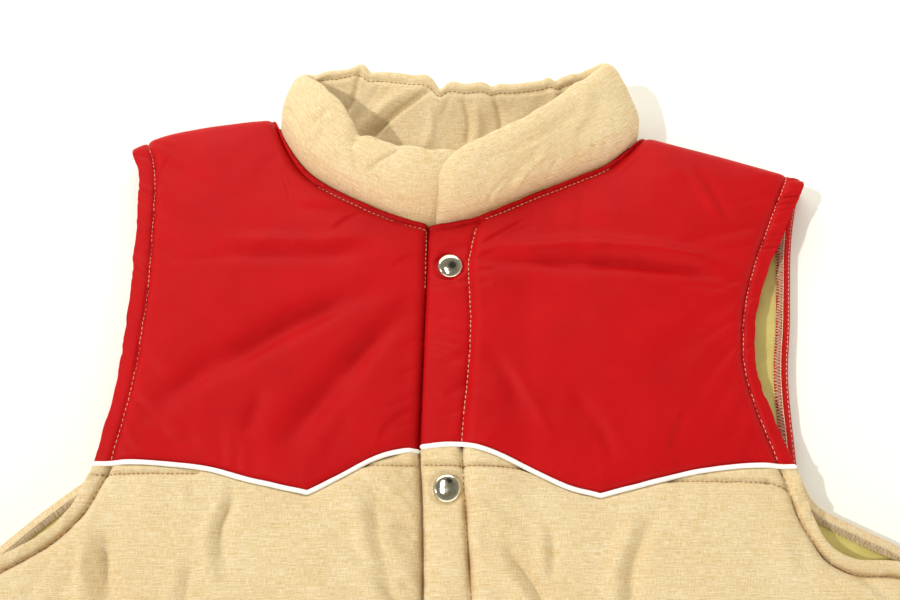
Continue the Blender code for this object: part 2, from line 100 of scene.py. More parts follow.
Edge = namedtuple("Edge", "y x")
PLACKET_EDGE = [
    Edge(HEM_Y, -13.5), Edge(-168, -13.5), Edge(-121, -14.5), Edge(-89, -16.5), Edge(-51, -15.5), Edge(10, -13.5), Edge(54, -13),
]
PLACKET_STITCH = [
    Edge(HEM_Y, 12), Edge(-168, 11), Edge(-121, 8), Edge(-90, 6.3), Edge(-73, 7.4), Edge(-53, 9.6), Edge(-32, 11.5),
    Edge(-11, 12.3), Edge(11, 11.4), Edge(24, 11.1), Edge(36, 13.2), Edge(48, 16), Edge(54, 18.5),
]
BAND = {  # armhole hem, edge to stitching, at heights along the armhole
    "right": [Edge(-158, 8.5), Edge(-146, 7.2), Edge(-134, 7.2), Edge(-120, 8.3), Edge(-97, 9.4), Edge(0, 9.7), Edge(113, 10.8)],
    "left": [
        Edge(-158, 8), Edge(-149, 7.5), Edge(-140, 6), Edge(-125, 7.5), Edge(-99, 8.6), Edge(-75, 7.6), Edge(-52, 6.9),
        Edge(-20, 6.9), Edge(12, 8), Edge(50, 9.8), Edge(84, 11),
    ],
}
NECK_BAND = [Edge(54, 4.4), Edge(92, 4.4), Edge(112, 2.8), Edge(124, 1.8)]
HEM_BAND = 20.0

Section = namedtuple("Section", "sx sy sz rx ry rz loft")
COLLAR = [
    Section(11, 66.5, 15, 12, 89, 42, 0.55),
    Section(-5, 66, 15.5, -3, 91, 45, 0.75),
    Section(-20, 63, 16.5, -14, 89.5, 46, 0.90),
    Section(-38, 65.5, 17, -28, 92.5, 46, 1.0),
    Section(-66, 79.5, 18, -53, 102, 45, 1.0),
    Section(-90, 95, 20, -72, 130, 44, 1.0),
    Section(-103, 112.5, 20, -84, 147, 38, 0.80),
    Section(-108, 128.5, 14, -94, 160, 31, 0.75),
    Section(-98, 126.5, 9, -80, 168, 25.5, 0.85),
    Section(-70, 115, 8, -55.5, 167.5, 25, 0.95),
    Section(-33, 107, 8, -23, 162, 26, 1.0),
    Section(3, 105, 8, 3, 155, 27, 1.0),
    Section(43, 106, 8, 42.5, 155, 27, 1.0),
    Section(80, 111, 8, 72, 159.5, 27, 0.95),
    Section(112, 119, 9, 93, 166.5, 26, 0.85),
    Section(122, 119, 14, 103, 166, 31, 0.72),
    Section(112, 106, 20, 89, 150, 39, 0.90),
    Section(83, 92.5, 20, 69, 132, 45, 1.0),
    Section(50.5, 79, 18, 49, 113, 50, 1.0),
    Section(25, 67, 18, 24, 98.5, 50, 1.0),
    Section(6, 60, 19, 3.5, 87, 48, 0.80),
    Section(-8.5, 57.5, 20, -7, 76, 43, 0.55),
]

Quilt = namedtuple("Quilt", "side x0 y0 x1 y1")  # quilting across the top of the beige panels, where the yoke leaves it bare
QUILT = [
    Quilt("right", -194, -103.5, -138, -103), Quilt("right", -46, -98.5, -18, -98.5),
    Quilt("left", -14, -98, 43, -100.5), Quilt("left", 120, -107, 172, -108), Quilt("left", 172, -108, 183, -111.5),
]

# ---------------------------------------------------------------- folds
# step: a ridge on the path's left and a trough on its right; crease: a sharper one; trough: a soft groove along the path
Fold = namedtuple("Fold", "kind height width path")
FOLDS = {
    "right": [
        Fold("trough", 5.4, 9.0, [Pt(-178, -88), Pt(-168, -73), Pt(-160, -62), Pt(-140, -44), Pt(-115, -30), Pt(-91, -15), Pt(-65, -3), Pt(-33, 10)]),
        Fold("trough", 5.0, 8.5, [Pt(-92, -110), Pt(-90, -93), Pt(-83, -76), Pt(-71, -60), Pt(-50, -33), Pt(-29, -8), Pt(-20, 5)]),
        Fold("trough", 1.7, 6.5, [Pt(-112, -88), Pt(-109, -69), Pt(-103, -54)]),
        Fold("trough", 0.4, 1.6, [Pt(-181, 26), Pt(-151, 26), Pt(-127, 27), Pt(-94, 26)]),
        Fold("step", 1.8, 5.0, [Pt(-149, 35), Pt(-85, 33), Pt(-40, 39)]),
        Fold("step", 0.9, 4.0, [Pt(-98, 65), Pt(-72, 64), Pt(-47, 65)]),
        Fold("crease", 1.0, 4.0, [Pt(-74, 44), Pt(-65, 55), Pt(-52, 63)]),
        Fold("crease", 0.5, 4.5, [Pt(-37, 20), Pt(-30, 27), Pt(-21, 31)]),
        Fold("crease", 0.5, 4.5, [Pt(-31, -45), Pt(-24, -43), Pt(-17, -40)]),
        Fold("crease", 0.6, 6.0, [Pt(-43, -92), Pt(-36, -77), Pt(-29, -70), Pt(-19, -64)]),
        Fold("trough", 0.8, 4.0, [Pt(-178, -83), Pt(-155, -85), Pt(-134, -87)]),
        Fold("trough", 1.0, 5.0, [Pt(-70, -97), Pt(-61, -81), Pt(-55, -63)]),
        Fold("crease", 0.5, 3.0, [Pt(-188, 76), Pt(-184, 90), Pt(-178, 103)]),
        Fold("crease", 0.4, 3.0, [Pt(-185, 55), Pt(-179, 66)]),
        # body
        Fold("trough", 0.9, 1.9, [Pt(-111, -165), Pt(-118, -149), Pt(-120, -133), Pt(-116, -118), Pt(-119, -105)]),
        Fold("trough", 0.9, 2.0, [Pt(-173, -200), Pt(-176, -168), Pt(-180, -149), Pt(-187, -123)]),
        Fold("trough", 0.6, 1.9, [Pt(-138, -190), Pt(-136, -168), Pt(-135, -156), Pt(-135, -144)]),
        Fold("trough", 0.6, 1.9, [Pt(-26, -185), Pt(-30, -165), Pt(-37, -139), Pt(-41, -115), Pt(-43, -102)]),
        Fold("trough", 2.4, 2.8, [Pt(-31, -130), Pt(-24, -133), Pt(-16, -139)]),
        Fold("trough", 2.0, 2.6, [Pt(-27, -158), Pt(-22, -163), Pt(-16, -167)]),
        Fold("crease", 0.9, 3.5, [Pt(-193, -115), Pt(-185, -119), Pt(-177, -118)]),
        Fold("trough", 0.6, 2.6, [Pt(-79, -115), Pt(-71, -119), Pt(-62, -122)]),
        Fold("trough", 0.8, 3.0, [Pt(-147, -110), Pt(-141, -115), Pt(-135, -119)]),
        Fold("crease", 0.8, 3.0, [Pt(-34, -120), Pt(-27, -123), Pt(-17, -126)]),
        Fold("step", 2.6, 3.6, [Pt(-115, -165), Pt(-122, -149), Pt(-124, -133), Pt(-120, -118), Pt(-123, -105)]),
        Fold("step", 3.2, 4.6, [Pt(-178, -200), Pt(-181, -168), Pt(-185, -149), Pt(-192, -123)]),
        Fold("step", 1.7, 3.2, [Pt(-141, -190), Pt(-139, -168), Pt(-138, -156), Pt(-138, -144)]),
        Fold("step", 1.0, 3.0, [Pt(-135, -119), Pt(-140, -115), Pt(-144, -106)]),
        Fold("step", 1.7, 4.0, [Pt(-30, -185), Pt(-34, -165), Pt(-41, -139), Pt(-45, -115), Pt(-47, -102)]),
        Fold("trough", 1.3, 2.5, [Pt(-226, -192), Pt(-216, -168), Pt(-204, -139)]),
        Fold("step", 1.2, 6.0, [Pt(-96, -440), Pt(-101, -370), Pt(-112, -300), Pt(-110, -240)]),
        Fold("step", 1.0, 7.0, [Pt(-196, -420), Pt(-188, -350), Pt(-199, -280)]),
        Fold("step", 0.8, 5.0, [Pt(-50, -330), Pt(-58, -270), Pt(-44, -220)]),
        Fold("trough", 0.8, 4.0, [Pt(-240, -300), Pt(-200, -310), Pt(-160, -300)]),
    ],
    "left": [
        Fold("step", 3.5, 5.0, [Pt(10, 28), Pt(55, 30), Pt(88, 30), Pt(127, 26), Pt(162, 20), Pt(183, 12)]),
        Fold("crease", 1.0, 5.0, [Pt(11, 26), Pt(54, 26), Pt(87, 25), Pt(126, 21), Pt(162, 15), Pt(182, 7)]),
        Fold("trough", 0.45, 1.6, [Pt(128, 10), Pt(166, 5), Pt(176, -3)]),
        Fold("crease", 0.9, 5.0, [Pt(14, 33), Pt(31, 45), Pt(50, 58)]),
        Fold("trough", 0.4, 1.8, [Pt(26, 35), Pt(40, 45), Pt(55, 51)]),
        Fold("trough", -1.2, 3.0, [Pt(149, 92), Pt(158, 72), Pt(170, 44)]),
        Fold("trough", 0.8, 3.0, [Pt(155, 94), Pt(164, 75), Pt(175, 46)]),
        Fold("trough", 1.9, 5.5, [Pt(17, -26), Pt(33, -50), Pt(38, -66), Pt(43, -84)]),
        Fold("trough", -1.0, 4.0, [Pt(30, -30), Pt(46, -62), Pt(52, -75), Pt(58, -90)]),
        Fold("trough", 1.5, 4.6, [Pt(66, -50), Pt(75, -67), Pt(85, -83), Pt(90, -100)]),
        Fold("crease", 0.8, 5.0, [Pt(115, -99), Pt(122, -83), Pt(131, -65)]),
        Fold("trough", 0.6, 2.2, [Pt(149, -17), Pt(159, -25), Pt(168, -33)]),
        Fold("trough", 0.7, 2.2, [Pt(154, -47), Pt(160, -52), Pt(167, -58)]),
        Fold("trough", 1.4, 12.0, [Pt(107, -59), Pt(139, -23), Pt(168, -4)]),
        Fold("crease", 0.9, 3.5, [Pt(13, 26), Pt(22, 30), Pt(31, 32)]),
        Fold("crease", 0.7, 3.0, [Pt(13, 17), Pt(19, 19), Pt(28, 19)]),
        Fold("trough", 0.6, 2.2, [Pt(13, 8), Pt(20, 10), Pt(26, 9)]),
        Fold("trough", 0.7, 11.0, [Pt(87, -20), Pt(65, -1), Pt(30, 12)]),
        # body
        Fold("trough", 0.9, 2.0, [Pt(89, -205), Pt(93, -168), Pt(96, -150), Pt(105, -133), Pt(113, -117)]),
        Fold("trough", 0.9, 1.8, [Pt(58, -190), Pt(46, -168), Pt(35, -150), Pt(28, -133)]),
        Fold("trough", 0.6, 1.8, [Pt(52, -161), Pt(54, -144), Pt(52, -128)]),
        Fold("crease", 0.9, 3.0, [Pt(10, -117), Pt(14, -120), Pt(20, -123)]),
        Fold("trough", 0.6, 3.0, [Pt(67, -116), Pt(81, -119), Pt(98, -120)]),
        Fold("crease", 0.8, 3.0, [Pt(11, -133), Pt(17, -131), Pt(23, -127)]),
        Fold("trough", 0.8, 2.4, [Pt(13, -148), Pt(17, -146), Pt(22, -143)]),
        Fold("trough", 0.6, 2.6, [Pt(108, -148), Pt(115, -144), Pt(123, -139)]),
        Fold("step", 2.8, 4.8, [Pt(84, -205), Pt(88, -168), Pt(91, -150), Pt(100, -133), Pt(108, -117)]),
        Fold("step", 2.2, 3.2, [Pt(55, -190), Pt(43, -168), Pt(32, -150), Pt(25, -133)]),
        Fold("step", 1.4, 3.2, [Pt(49, -161), Pt(51, -144), Pt(49, -128)]),
        Fold("trough", 2.0, 2.2, [Pt(252, -196), Pt(236, -178), Pt(222, -165), Pt(206, -151)]),
        Fold("step", 0.8, 5.0, [Pt(180, -164), Pt(179, -139), Pt(178, -118)]),
        Fold("step", 1.2, 6.0, [Pt(110, -440), Pt(104, -380), Pt(116, -310), Pt(108, -250)]),
        Fold("step", 1.0, 7.0, [Pt(198, -430), Pt(190, -360), Pt(202, -290), Pt(196, -230)]),
        Fold("step", 0.8, 5.0, [Pt(48, -400), Pt(56, -340), Pt(46, -280)]),
        Fold("trough", 0.8, 4.0, [Pt(150, -330), Pt(200, -345), Pt(245, -330)]),
    ],
}

# ---------------------------------------------------------------- curves and noise


def smooth(rows, steps=24):
    p = np.array([tuple(r) for r in rows], float)
    if len(p) == 2:
        return np.linspace(p[0], p[1], steps + 1)
    ends = np.vstack([2 * p[0] - p[1], p, 2 * p[-1] - p[-2]])
    t = np.linspace(0, 1, steps, endpoint=False)[:, None]
    out = []
    for a, b, c, d in zip(ends[:-3], ends[1:-2], ends[2:-1], ends[3:]):
        out.append(0.5 * (2 * b + (c - a) * t + (2 * a - 5 * b + 4 * c - d) * t**2 + (3 * b - a - 3 * c + d) * t**3))
    return np.vstack(out + [p[-1:]])


def arc(line):
    return np.concatenate([[0], np.cumsum(np.linalg.norm(np.diff(line, axis=0), axis=1))])


def at(line, where):
    s = arc(line)
    return np.stack([np.interp(where, s, line[:, k]) for k in range(line.shape[1])], axis=1)


def even(line, step):
    """The line again, with points a step apart."""
    total = arc(line)[-1]
    return at(line, np.linspace(0, total, max(2, int(round(total / step)) + 1)))


def graded(count, start, end):
    """Positions 0 to 1 in count steps, the first and last few of them short where asked."""
    step = np.ones(count)
    ramp = np.array([0.25, 0.35, 0.5, 0.65, 0.8, 0.9])
    if start:
        step[: len(ramp)] = ramp
    if end:
        step[-len(ramp) :] = np.minimum(step[-len(ramp) :], ramp[::-1])
    s = np.concatenate([[0], np.cumsum(step)])
    return s / s[-1]


def spaced(length, first, last):
    """Positions 0 to 1 along a length, with steps that go from first to last."""
    step = np.linspace(first, last, int(2 * length / (first + last)))
    s = np.concatenate([[0], np.cumsum(step)])
    return s / s[-1]


def run(line, count, start=False, end=False):
    return at(line, graded(count, start, end) * arc(line)[-1])


def chain(*runs):
    return np.vstack([runs[0]] + [r[1:] for r in runs[1:]])


def inset(line, by):
    d = np.gradient(line, axis=0)
    n = np.stack([-d[:, 1], d[:, 0]], axis=1)
    return line + by * n / np.maximum(np.linalg.norm(n, axis=1), 1e-9)[:, None]


def nearest(points, line):
    """Distance to a line, the place along it, and on which side: + on its left."""
    a, d = line[:-1], np.diff(line, axis=0)
    dd = np.maximum((d * d).sum(1), 1e-12)
    s0, ln = arc(line)[:-1], np.sqrt(dd)
    dist, where, side = (np.empty(len(points)) for _ in range(3))
    for k in range(0, len(points), 6000):
        rel = points[k : k + 6000, None, :] - a[None]
        t = np.clip((rel * d).sum(2) / dd, 0, 1)
        off = rel - t[..., None] * d
        q = np.linalg.norm(off, axis=2)
        i = q.argmin(1)
        r = np.arange(len(i))
        dist[k : k + 6000] = q[r, i]
        where[k : k + 6000] = s0[i] + t[r, i] * ln[i]
        side[k : k + 6000] = np.sign(d[i, 0] * rel[r, i, 1] - d[i, 1] * rel[r, i, 0])
    return dist, where, side


def ease(t):
    t = np.clip(t, 0, 1)
    return t * t * (3 - 2 * t)


def rise(t, p=2.2):
    return 1 - (1 - np.clip(t, 0, 1)) ** p


def hump(t):
    """0 at t = 0 and 1, round between."""
    return np.sqrt(np.clip(1 - (2 * np.clip(t, 0, 1) - 1) ** 2, 0, 1))


def lattice(i, j, seed):
    v = np.sin(i * 127.1 + j * 311.7 + seed * 74.7) * 43758.5453
    return 2 * (v - np.floor(v)) - 1


def noise1(s, size, seed):
    q = s / size
    i = np.floor(q)
    f = ease(q - i)
    return lattice(i, 0, seed) * (1 - f) + lattice(i + 1, 0, seed) * f


def noise2(x, y, size, seed):
    qx, qy = x / size, y / size
    i, j = np.floor(qx), np.floor(qy)
    f, g = ease(qx - i), ease(qy - j)
    low = lattice(i, j, seed) * (1 - f) + lattice(i + 1, j, seed) * f
    high = lattice(i, j + 1, seed) * (1 - f) + lattice(i + 1, j + 1, seed) * f
    return low * (1 - g) + high * g


def line_x(rows, y):
    cols = np.array([tuple(r) for r in rows], float)
    return np.interp(y, cols[:, 0], cols[:, 1])


def patch(bottom, top, left, right):
    u = (arc(bottom) / arc(bottom)[-1] + arc(top) / arc(top)[-1])[:, None, None] / 2
    v = (arc(left) / arc(left)[-1] + arc(right) / arc(right)[-1])[None, :, None] / 2
    u, v = (w * w * w * (w * (6 * w - 15) + 10) for w in (u, v))
    b, t, l, r = bottom[:, None], top[:, None], left[None], right[None]
    corner = (1 - u) * (1 - v) * bottom[0] + u * (1 - v) * bottom[-1] + (1 - u) * v * top[0] + u * v * top[-1]
    return (1 - v) * b + v * t + (1 - u) * l + u * r - corner


def up_facing(plan):
    a, b = plan[1, 0] - plan[0, 0], plan[0, 1] - plan[0, 0]
    return plan if a[0] * b[1] - a[1] * b[0] > 0 else plan[::-1]


# ---------------------------------------------------------------- meshes


def new_piece(name, points, faces, mat, uv=None):
    mesh = bpy.data.meshes.new(name)
    mesh.from_pydata(((np.asarray(points) + SHIFT) * MM).tolist(), [], [tuple(f) for f in np.asarray(faces).tolist()])
    if uv is not None:
        layer = mesh.uv_layers.new(name="cloth")
        index = np.empty(len(mesh.loops), np.int32)
        mesh.loops.foreach_get("vertex_index", index)
        layer.data.foreach_set("uv", (np.asarray(uv)[index] * MM).ravel().astype(np.float32))
    mesh.materials.append(mat)
    mesh.shade_smooth()
    obj = bpy.data.objects.new(name, mesh)
    bpy.context.scene.collection.objects.link(obj)
    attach(obj, "root")
    return obj


def grid_solid(name, top, low, uv, mat):
    """A closed cloth solid between two grids, the top one facing up."""
    nu, nv = top.shape[:2]
    ids = np.arange(nu * nv).reshape(nu, nv)
    a, b, c, d = ids[:-1, :-1].ravel(), ids[1:, :-1].ravel(), ids[1:, 1:].ravel(), ids[:-1, 1:].ravel()
    n = nu * nv
    faces = [np.stack([a, b, c, d], 1), np.stack([a, d, c, b], 1) + n]
    ring = np.concatenate([ids[:, 0], ids[-1, 1:], ids[-2::-1, -1], ids[0, -2:0:-1]])
    nxt = np.roll(ring, -1)
    faces.append(np.stack([ring, ring + n, nxt + n, nxt], 1))
    points = np.vstack([top.reshape(-1, 3), low.reshape(-1, 3)])
    weave = np.vstack([uv.reshape(-1, 2)] * 2)  # laid over the plan and on down the walls
    at_side, at_hem = ease((np.abs(weave[:, 0]) - 232) / 26), ease((HEM_Y + 30 - weave[:, 1]) / 26)
    weave = weave + (points[:, 2:] - 24) * np.column_stack([-0.9 * np.sign(weave[:, 0]) * at_side, 0.9 * at_hem])
    return new_piece(name, points, np.vstack(faces), mat, weave)


def tube_faces(rings, sides, base=0, closed_ends=True):
    faces = []
    for r in range(rings - 1):
        for k in range(sides):
            a, b = base + r * sides + k, base + r * sides + (k + 1) % sides
            faces.append((a, b, b + sides, a + sides))
    if closed_ends:
        faces.append(tuple(base + k for k in range(sides))[::-1])
        faces.append(tuple(base + (rings - 1) * sides + k for k in range(sides)))
    return faces


def tube(path, radius, sides, up=(0, 0, 1), flat=1.0):
    """Points of a tube round a path; radius may be one number for each point, flat squeezes it along up."""
    path = np.asarray(path, float)
    radius = np.broadcast_to(np.asarray(radius, float), (len(path),))
    t = np.gradient(path, axis=0)
    t /= np.maximum(np.linalg.norm(t, axis=1), 1e-9)[:, None]
    side = np.cross(t, np.asarray(up, float))
    side /= np.maximum(np.linalg.norm(side, axis=1), 1e-9)[:, None]
    top = np.cross(side, t)
    ang = np.linspace(0, 2 * math.pi, sides, endpoint=False)
    ring = np.cos(ang)[None, :, None] * side[:, None] + flat * np.sin(ang)[None, :, None] * top[:, None]
    return (path[:, None] + radius[:, None, None] * ring).reshape(-1, 3)


class Threads:
    """Short stitches gathered into one piece."""

    def __init__(self):
        self.points, self.faces, self.count = [], [], 0

    def add(self, path, radius, sides=6, up=(0, 0, 1)):
        pts = tube(path, radius, sides, up)
        self.faces += tube_faces(len(path), sides, self.count)
        self.points.append(pts)
        self.count += len(pts)

    def piece(self, name, mat, slot):
        mesh = bpy.data.meshes.new(name)
        mesh.from_pydata(((np.vstack(self.points) + SHIFT) * MM).tolist(), [], self.faces)
        mesh.materials.append(mat)
        mesh.shade_smooth()
        obj = bpy.data.objects.new(name, mesh)
        bpy.context.scene.collection.objects.link(obj)
        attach(obj, "root")
        return obj


def surface_of(*pieces):
    """A tree for dropping points onto these pieces, in garment millimetres."""
    points, faces = [], []
    for obj in pieces:
        base = len(points)
        points += [(v.co / MM - Vector(SHIFT)) for v in obj.data.vertices]
        faces += [tuple(base + i for i in p.vertices) for p in obj.data.polygons]
    return BVHTree.FromPolygons(points, faces)


def drop(tree, plan):
    """Heights of a surface under plan points."""
    out = []
    last = 20.0
    for x, y in plan:
        hit = tree.ray_cast(Vector((x, y, 200)), Vector((0, 0, -1)))
        last = hit[0].z if hit[0] is not None else last
        out.append(last)
    return np.array(out)


def stitch_run(threads, tree, line, pitch=3.1, gap=0.9, radius=0.2, sink=0.25, lift=0.16):
    """Lockstitches laid on a surface along a plan line."""
    line = even(line, 1.0)
    total = arc(line)[-1]
    count = int(total / pitch)
    for k in range(count):
        wob = 0.10 * lattice(k, 3, 5)
        s = np.linspace(k * pitch + gap / 2, (k + 1) * pitch - gap / 2, 5)
        p = at(line, s)
        z = drop(tree, p)
        z = z + np.array([-sink, lift * 0.7, lift, lift * 0.7, -sink])
        p = p + np.array([wob, 0.06 * lattice(k, 9, 2)])
        threads.add(np.column_stack([p, z]), np.array([0.6, 1, 1.05, 1, 0.6]) * radius)


# ---------------------------------------------------------------- materials


class Nodes:
    def __init__(self, name):
        self.mat = bpy.data.materials.new(name)
        self.mat.use_nodes = True
        self.tree = self.mat.node_tree
        self.shader = self.tree.nodes["Principled BSDF"]

    def node(self, kind, **values):
        n = self.tree.nodes.new(kind)
        for key, value in values.items():
            if key in n.inputs.keys():
                n.inputs[key].default_value = value
            else:
                setattr(n, key, value)
        return n

    def link(self, a, b):
        self.tree.links.new(a, b)

    def coords(self, uv=True):
        n = self.node("ShaderNodeTexCoord")
        return n.outputs["UV" if uv else "Object"]

    def mapped(self, vector, scale, rotation=(0, 0, 0)):
        m = self.node("ShaderNodeMapping")
        m.inputs["Scale"].default_value = scale
        m.inputs["Rotation"].default_value = rotation
        self.link(vector, m.inputs["Vector"])
        return m.outputs["Vector"]

    def noise(self, vector, scale, detail=2.0, rough=0.5):
        n = self.node("ShaderNodeTexNoise", Scale=scale, Detail=detail, Roughness=rough)
        self.link(vector, n.inputs["Vector"])
        return n.outputs["Fac"]

    def wave(self, vector, scale, direction, distort=0.0, dscale=1.0):
        n = self.node("ShaderNodeTexWave", Scale=scale, Distortion=distort)
        n.inputs["Detail Scale"].default_value = dscale
        n.bands_direction = direction
        self.link(vector, n.inputs["Vector"])
        return n.outputs["Fac"]

    def math(self, op, a, b=None):
        n = self.node("ShaderNodeMath", operation=op)
        for k, v in enumerate((a, b)):
            if v is None:
                continue
            if hasattr(v, "is_output"):
                self.link(v, n.inputs[k])
            else:
                n.inputs[k].default_value = v
        return n.outputs[0]

    def ramp(self, value, stops):
        n = self.node("ShaderNodeValToRGB")
        while len(n.color_ramp.elements) < len(stops):
            n.color_ramp.elements.new(0.5)
        for e, (pos, colour) in zip(n.color_ramp.elements, stops):
            e.position = pos
            e.color = (*colour, 1)
        self.link(value, n.inputs["Fac"])
        return n.outputs["Color"]

    def mix(self, factor, a, b, blend="MIX"):
        n = self.node("ShaderNodeMix", data_type="RGBA", blend_type=blend)
        for key, v in ((0, factor), (6, a), (7, b)):
            if hasattr(v, "is_output"):
                self.link(v, n.inputs[key])
            else:
                n.inputs[key].default_value = v if key == 0 else (*v, 1)
        return n.outputs[2]

    def bump(self, height, strength, distance, normal=None):
        n = self.node("ShaderNodeBump", Strength=strength, Distance=distance)
        self.link(height, n.inputs["Height"])
        if normal is not None:
            self.link(normal, n.inputs["Normal"])
        return n.outputs["Normal"]


def nylon(name, dark, light, rough=0.46):
    """Plain-weave taffeta: fine crossing threads, soft sheen, faint mottling."""
    m = Nodes(name)
    uv = m.coords()
    mottle = m.noise(uv, 26.0, 3.0, 0.6)
    threads = m.noise(m.mapped(uv, (2600, 160, 1)), 1.0, 2.0)
    picks = m.noise(m.mapped(uv, (160, 2600, 1)), 1.0, 2.0)
    tone = m.math("ADD", m.math("MULTIPLY", mottle, 0.6), m.math("MULTIPLY", m.math("ADD", threads, picks), 0.2))
    m.link(m.ramp(tone, [(0.25, dark), (0.75, light)]), m.shader.inputs["Base Color"])
    warp = m.wave(uv, 620.0, "X", 0.4)
    weft = m.wave(uv, 620.0, "Y", 0.4)
    weave = m.math("MAXIMUM", warp, weft)
    crumple = m.noise(uv, 95.0, 3.0, 0.55)
    n1 = m.bump(crumple, 0.16, 0.0009)
    m.link(m.bump(weave, 0.35, 0.00008, n1), m.shader.inputs["Normal"])
    m.link(m.math("ADD", m.math("MULTIPLY", mottle, 0.16), rough - 0.08), m.shader.inputs["Roughness"])
    m.shader.inputs["Specular IOR Level"].default_value = 0.08
    return m.mat


def slub(name, dark, mid, light):
    """Plain weave of uneven yarns: slubs along both threads and a matt surface."""
    m = Nodes(name)
    uv = m.coords()
    across = m.noise(m.mapped(uv, (190, 3500, 1)), 1.0, 3.0, 0.62)
    along = m.noise(m.mapped(uv, (3500, 210, 1)), 1.0, 3.0, 0.62)
    slubs = m.noise(m.mapped(uv, (48, 1250, 1)), 1.0, 1.0)
    fleck = m.noise(uv, 1500.0, 1.0)
    cloud = m.noise(uv, 22.0, 2.0)
    tone = m.math("ADD", m.math("MULTIPLY", across, 0.38), m.math("MULTIPLY", along, 0.32))
    tone = m.math("ADD", tone, m.math("MULTIPLY", slubs, 0.12))
    tone = m.math("ADD", tone, m.math("MULTIPLY", fleck, 0.12))
    tone = m.math("ADD", tone, m.math("MULTIPLY", cloud, 0.06))
    # painted shade: an attribute from the fronts mixes the cloth toward dark brown in its stitched grooves and along
    # the front edge, where shadow falls
    painted_shade = m.node("ShaderNodeAttribute", attribute_type="GEOMETRY", attribute_name="painted_shade").outputs["Fac"]
    colour = m.ramp(tone, [(0.385, dark), (0.5, mid), (0.615, light)])
    m.link(m.mix(painted_shade, colour, (0.34, 0.14, 0.018)), m.shader.inputs["Base Color"])
    weave = m.math("MAXIMUM", m.wave(uv, 380.0, "X", 1.2), m.wave(uv, 380.0, "Y", 1.2))
    n1 = m.bump(m.math("ADD", across, along), 0.45, 0.00035)
    m.link(m.bump(weave, 0.4, 0.00012, n1), m.shader.inputs["Normal"])
    m.shader.inputs["Roughness"].default_value = 0.85
    m.shader.inputs["Specular IOR Level"].default_value = 0.2
    m.shader.inputs["Sheen Weight"].default_value = 0.08
    return m.mat


def plain_cloth(name, dark, light, rough, scale=500.0):
    m = Nodes(name)
    uv = m.coords(uv=False)
    cloud = m.noise(uv, 60.0, 3.0, 0.6)
    m.link(m.ramp(cloud, [(0.3, dark), (0.7, light)]), m.shader.inputs["Base Color"])
    weave = m.math("MAXIMUM", m.wave(uv, scale, "X", 0.8), m.wave(uv, scale, "Y", 0.8))
    m.link(m.bump(weave, 0.35, 0.0001), m.shader.inputs["Normal"])
    m.shader.inputs["Roughness"].default_value = rough
    m.shader.inputs["Specular IOR Level"].default_value = 0.25
    return m.mat


def thread_mat(name, dark, light):
    m = Nodes(name)
    uv = m.coords(uv=False)
    twist = m.noise(uv, 2200.0, 2.0)
    m.link(m.ramp(twist, [(0.3, dark), (0.7, light)]), m.shader.inputs["Base Color"])
    m.link(m.bump(twist, 0.5, 0.0001), m.shader.inputs["Normal"])
    m.shader.inputs["Roughness"].default_value = 0.6
    return m.mat


def steel(name):
    m = Nodes(name)
    obj = m.coords(uv=False)
    wear = m.noise(obj, 420.0, 4.0, 0.65)
    m.link(m.ramp(wear, [(0.3, (0.62, 0.57, 0.42)), (0.65, (0.82, 0.78, 0.65))]), m.shader.inputs["Base Color"])
    m.link(m.math("ADD", m.math("MULTIPLY", wear, 0.10), 0.05), m.shader.inputs["Roughness"])
    m.shader.inputs["Metallic"].default_value = 1.0
    return m.mat


RED = nylon("red_nylon", (0.40, 0.003, 0.0045), (0.525, 0.005, 0.007), 0.5)
BEIGE = slub("beige_slub", (0.57, 0.37, 0.138), (0.71, 0.553, 0.31), (0.84, 0.74, 0.55))
OLIVE = plain_cloth("olive_lining", (0.55, 0.46, 0.13), (0.66, 0.56, 0.20), 0.55)
WHITE = plain_cloth("white_piping", (0.90, 0.895, 0.875), (0.95, 0.945, 0.93), 0.5)
CREAM = thread_mat("cream_thread", (0.72, 0.41, 0.26), (0.89, 0.60, 0.42))
TAN = thread_mat("tan_thread", (0.24, 0.11, 0.03), (0.38, 0.21, 0.07))
SERGE = thread_mat("serging_thread", (0.70, 0.52, 0.32), (0.92, 0.77, 0.55))
STEEL = steel("snap_steel")

# ---------------------------------------------------------------- fronts
SIDE = {
    "right": smooth([Pt(-HEM_HALF, HEM_Y), Pt(-CHEST_HALF, ARMPIT_Y)]),
    "left": smooth([Pt(HEM_HALF, HEM_Y), Pt(CHEST_HALF, ARMPIT_Y)]),
}


def joined(share):
    """The least padding, with rounded corners between the shares."""
    lack = np.clip(1 - np.array(share), 0, 1)
    return np.clip(1 - (lack**3.5).sum(0) ** (1 / 3.5), 0.06, 1)


def pillow(d, stitch, near, close, far):
    """Padding beside a stitched line: a steep round shoulder, then a slow rise."""
    d = np.sqrt(np.maximum(d, 0) ** 2 + 0.25) - 0.5
    shoulder = np.sqrt(1 - (1 - np.clip(d / close, 0, 1)) ** 2)
    return stitch + (near - stitch) * shoulder + (1 - near) * rise(d / far, 2.0)


def gathers(s, d, seed, lean=0.5, much=1.0):
    """Puckers held by a line of stitches: fine ones beside it that merge into fewer, longer ones further off."""
    d = np.maximum(d, 0)
    out = np.zeros(np.broadcast(s, d).shape)
    for k, (size, reach, height) in enumerate(((4.4, 2.6, 0.26), (8.5, 6.0, 0.52), (16.0, 13.0, 0.62))):
        q = s + lean * d + 2.5 * noise1(s, 31.0, seed + 40 + k)
        n = noise1(q, size, seed + k)
        wave = np.sqrt(n * n + 0.012) - 0.42  # round backs, sharp valleys
        patch_of = np.clip(0.55 + 0.75 * noise1(s, 3.1 * size, seed + 20 + k), 0, 1.2)
        t = d / reach
        out += height * wave * patch_of * t * np.exp(1 - t)
    return much * out


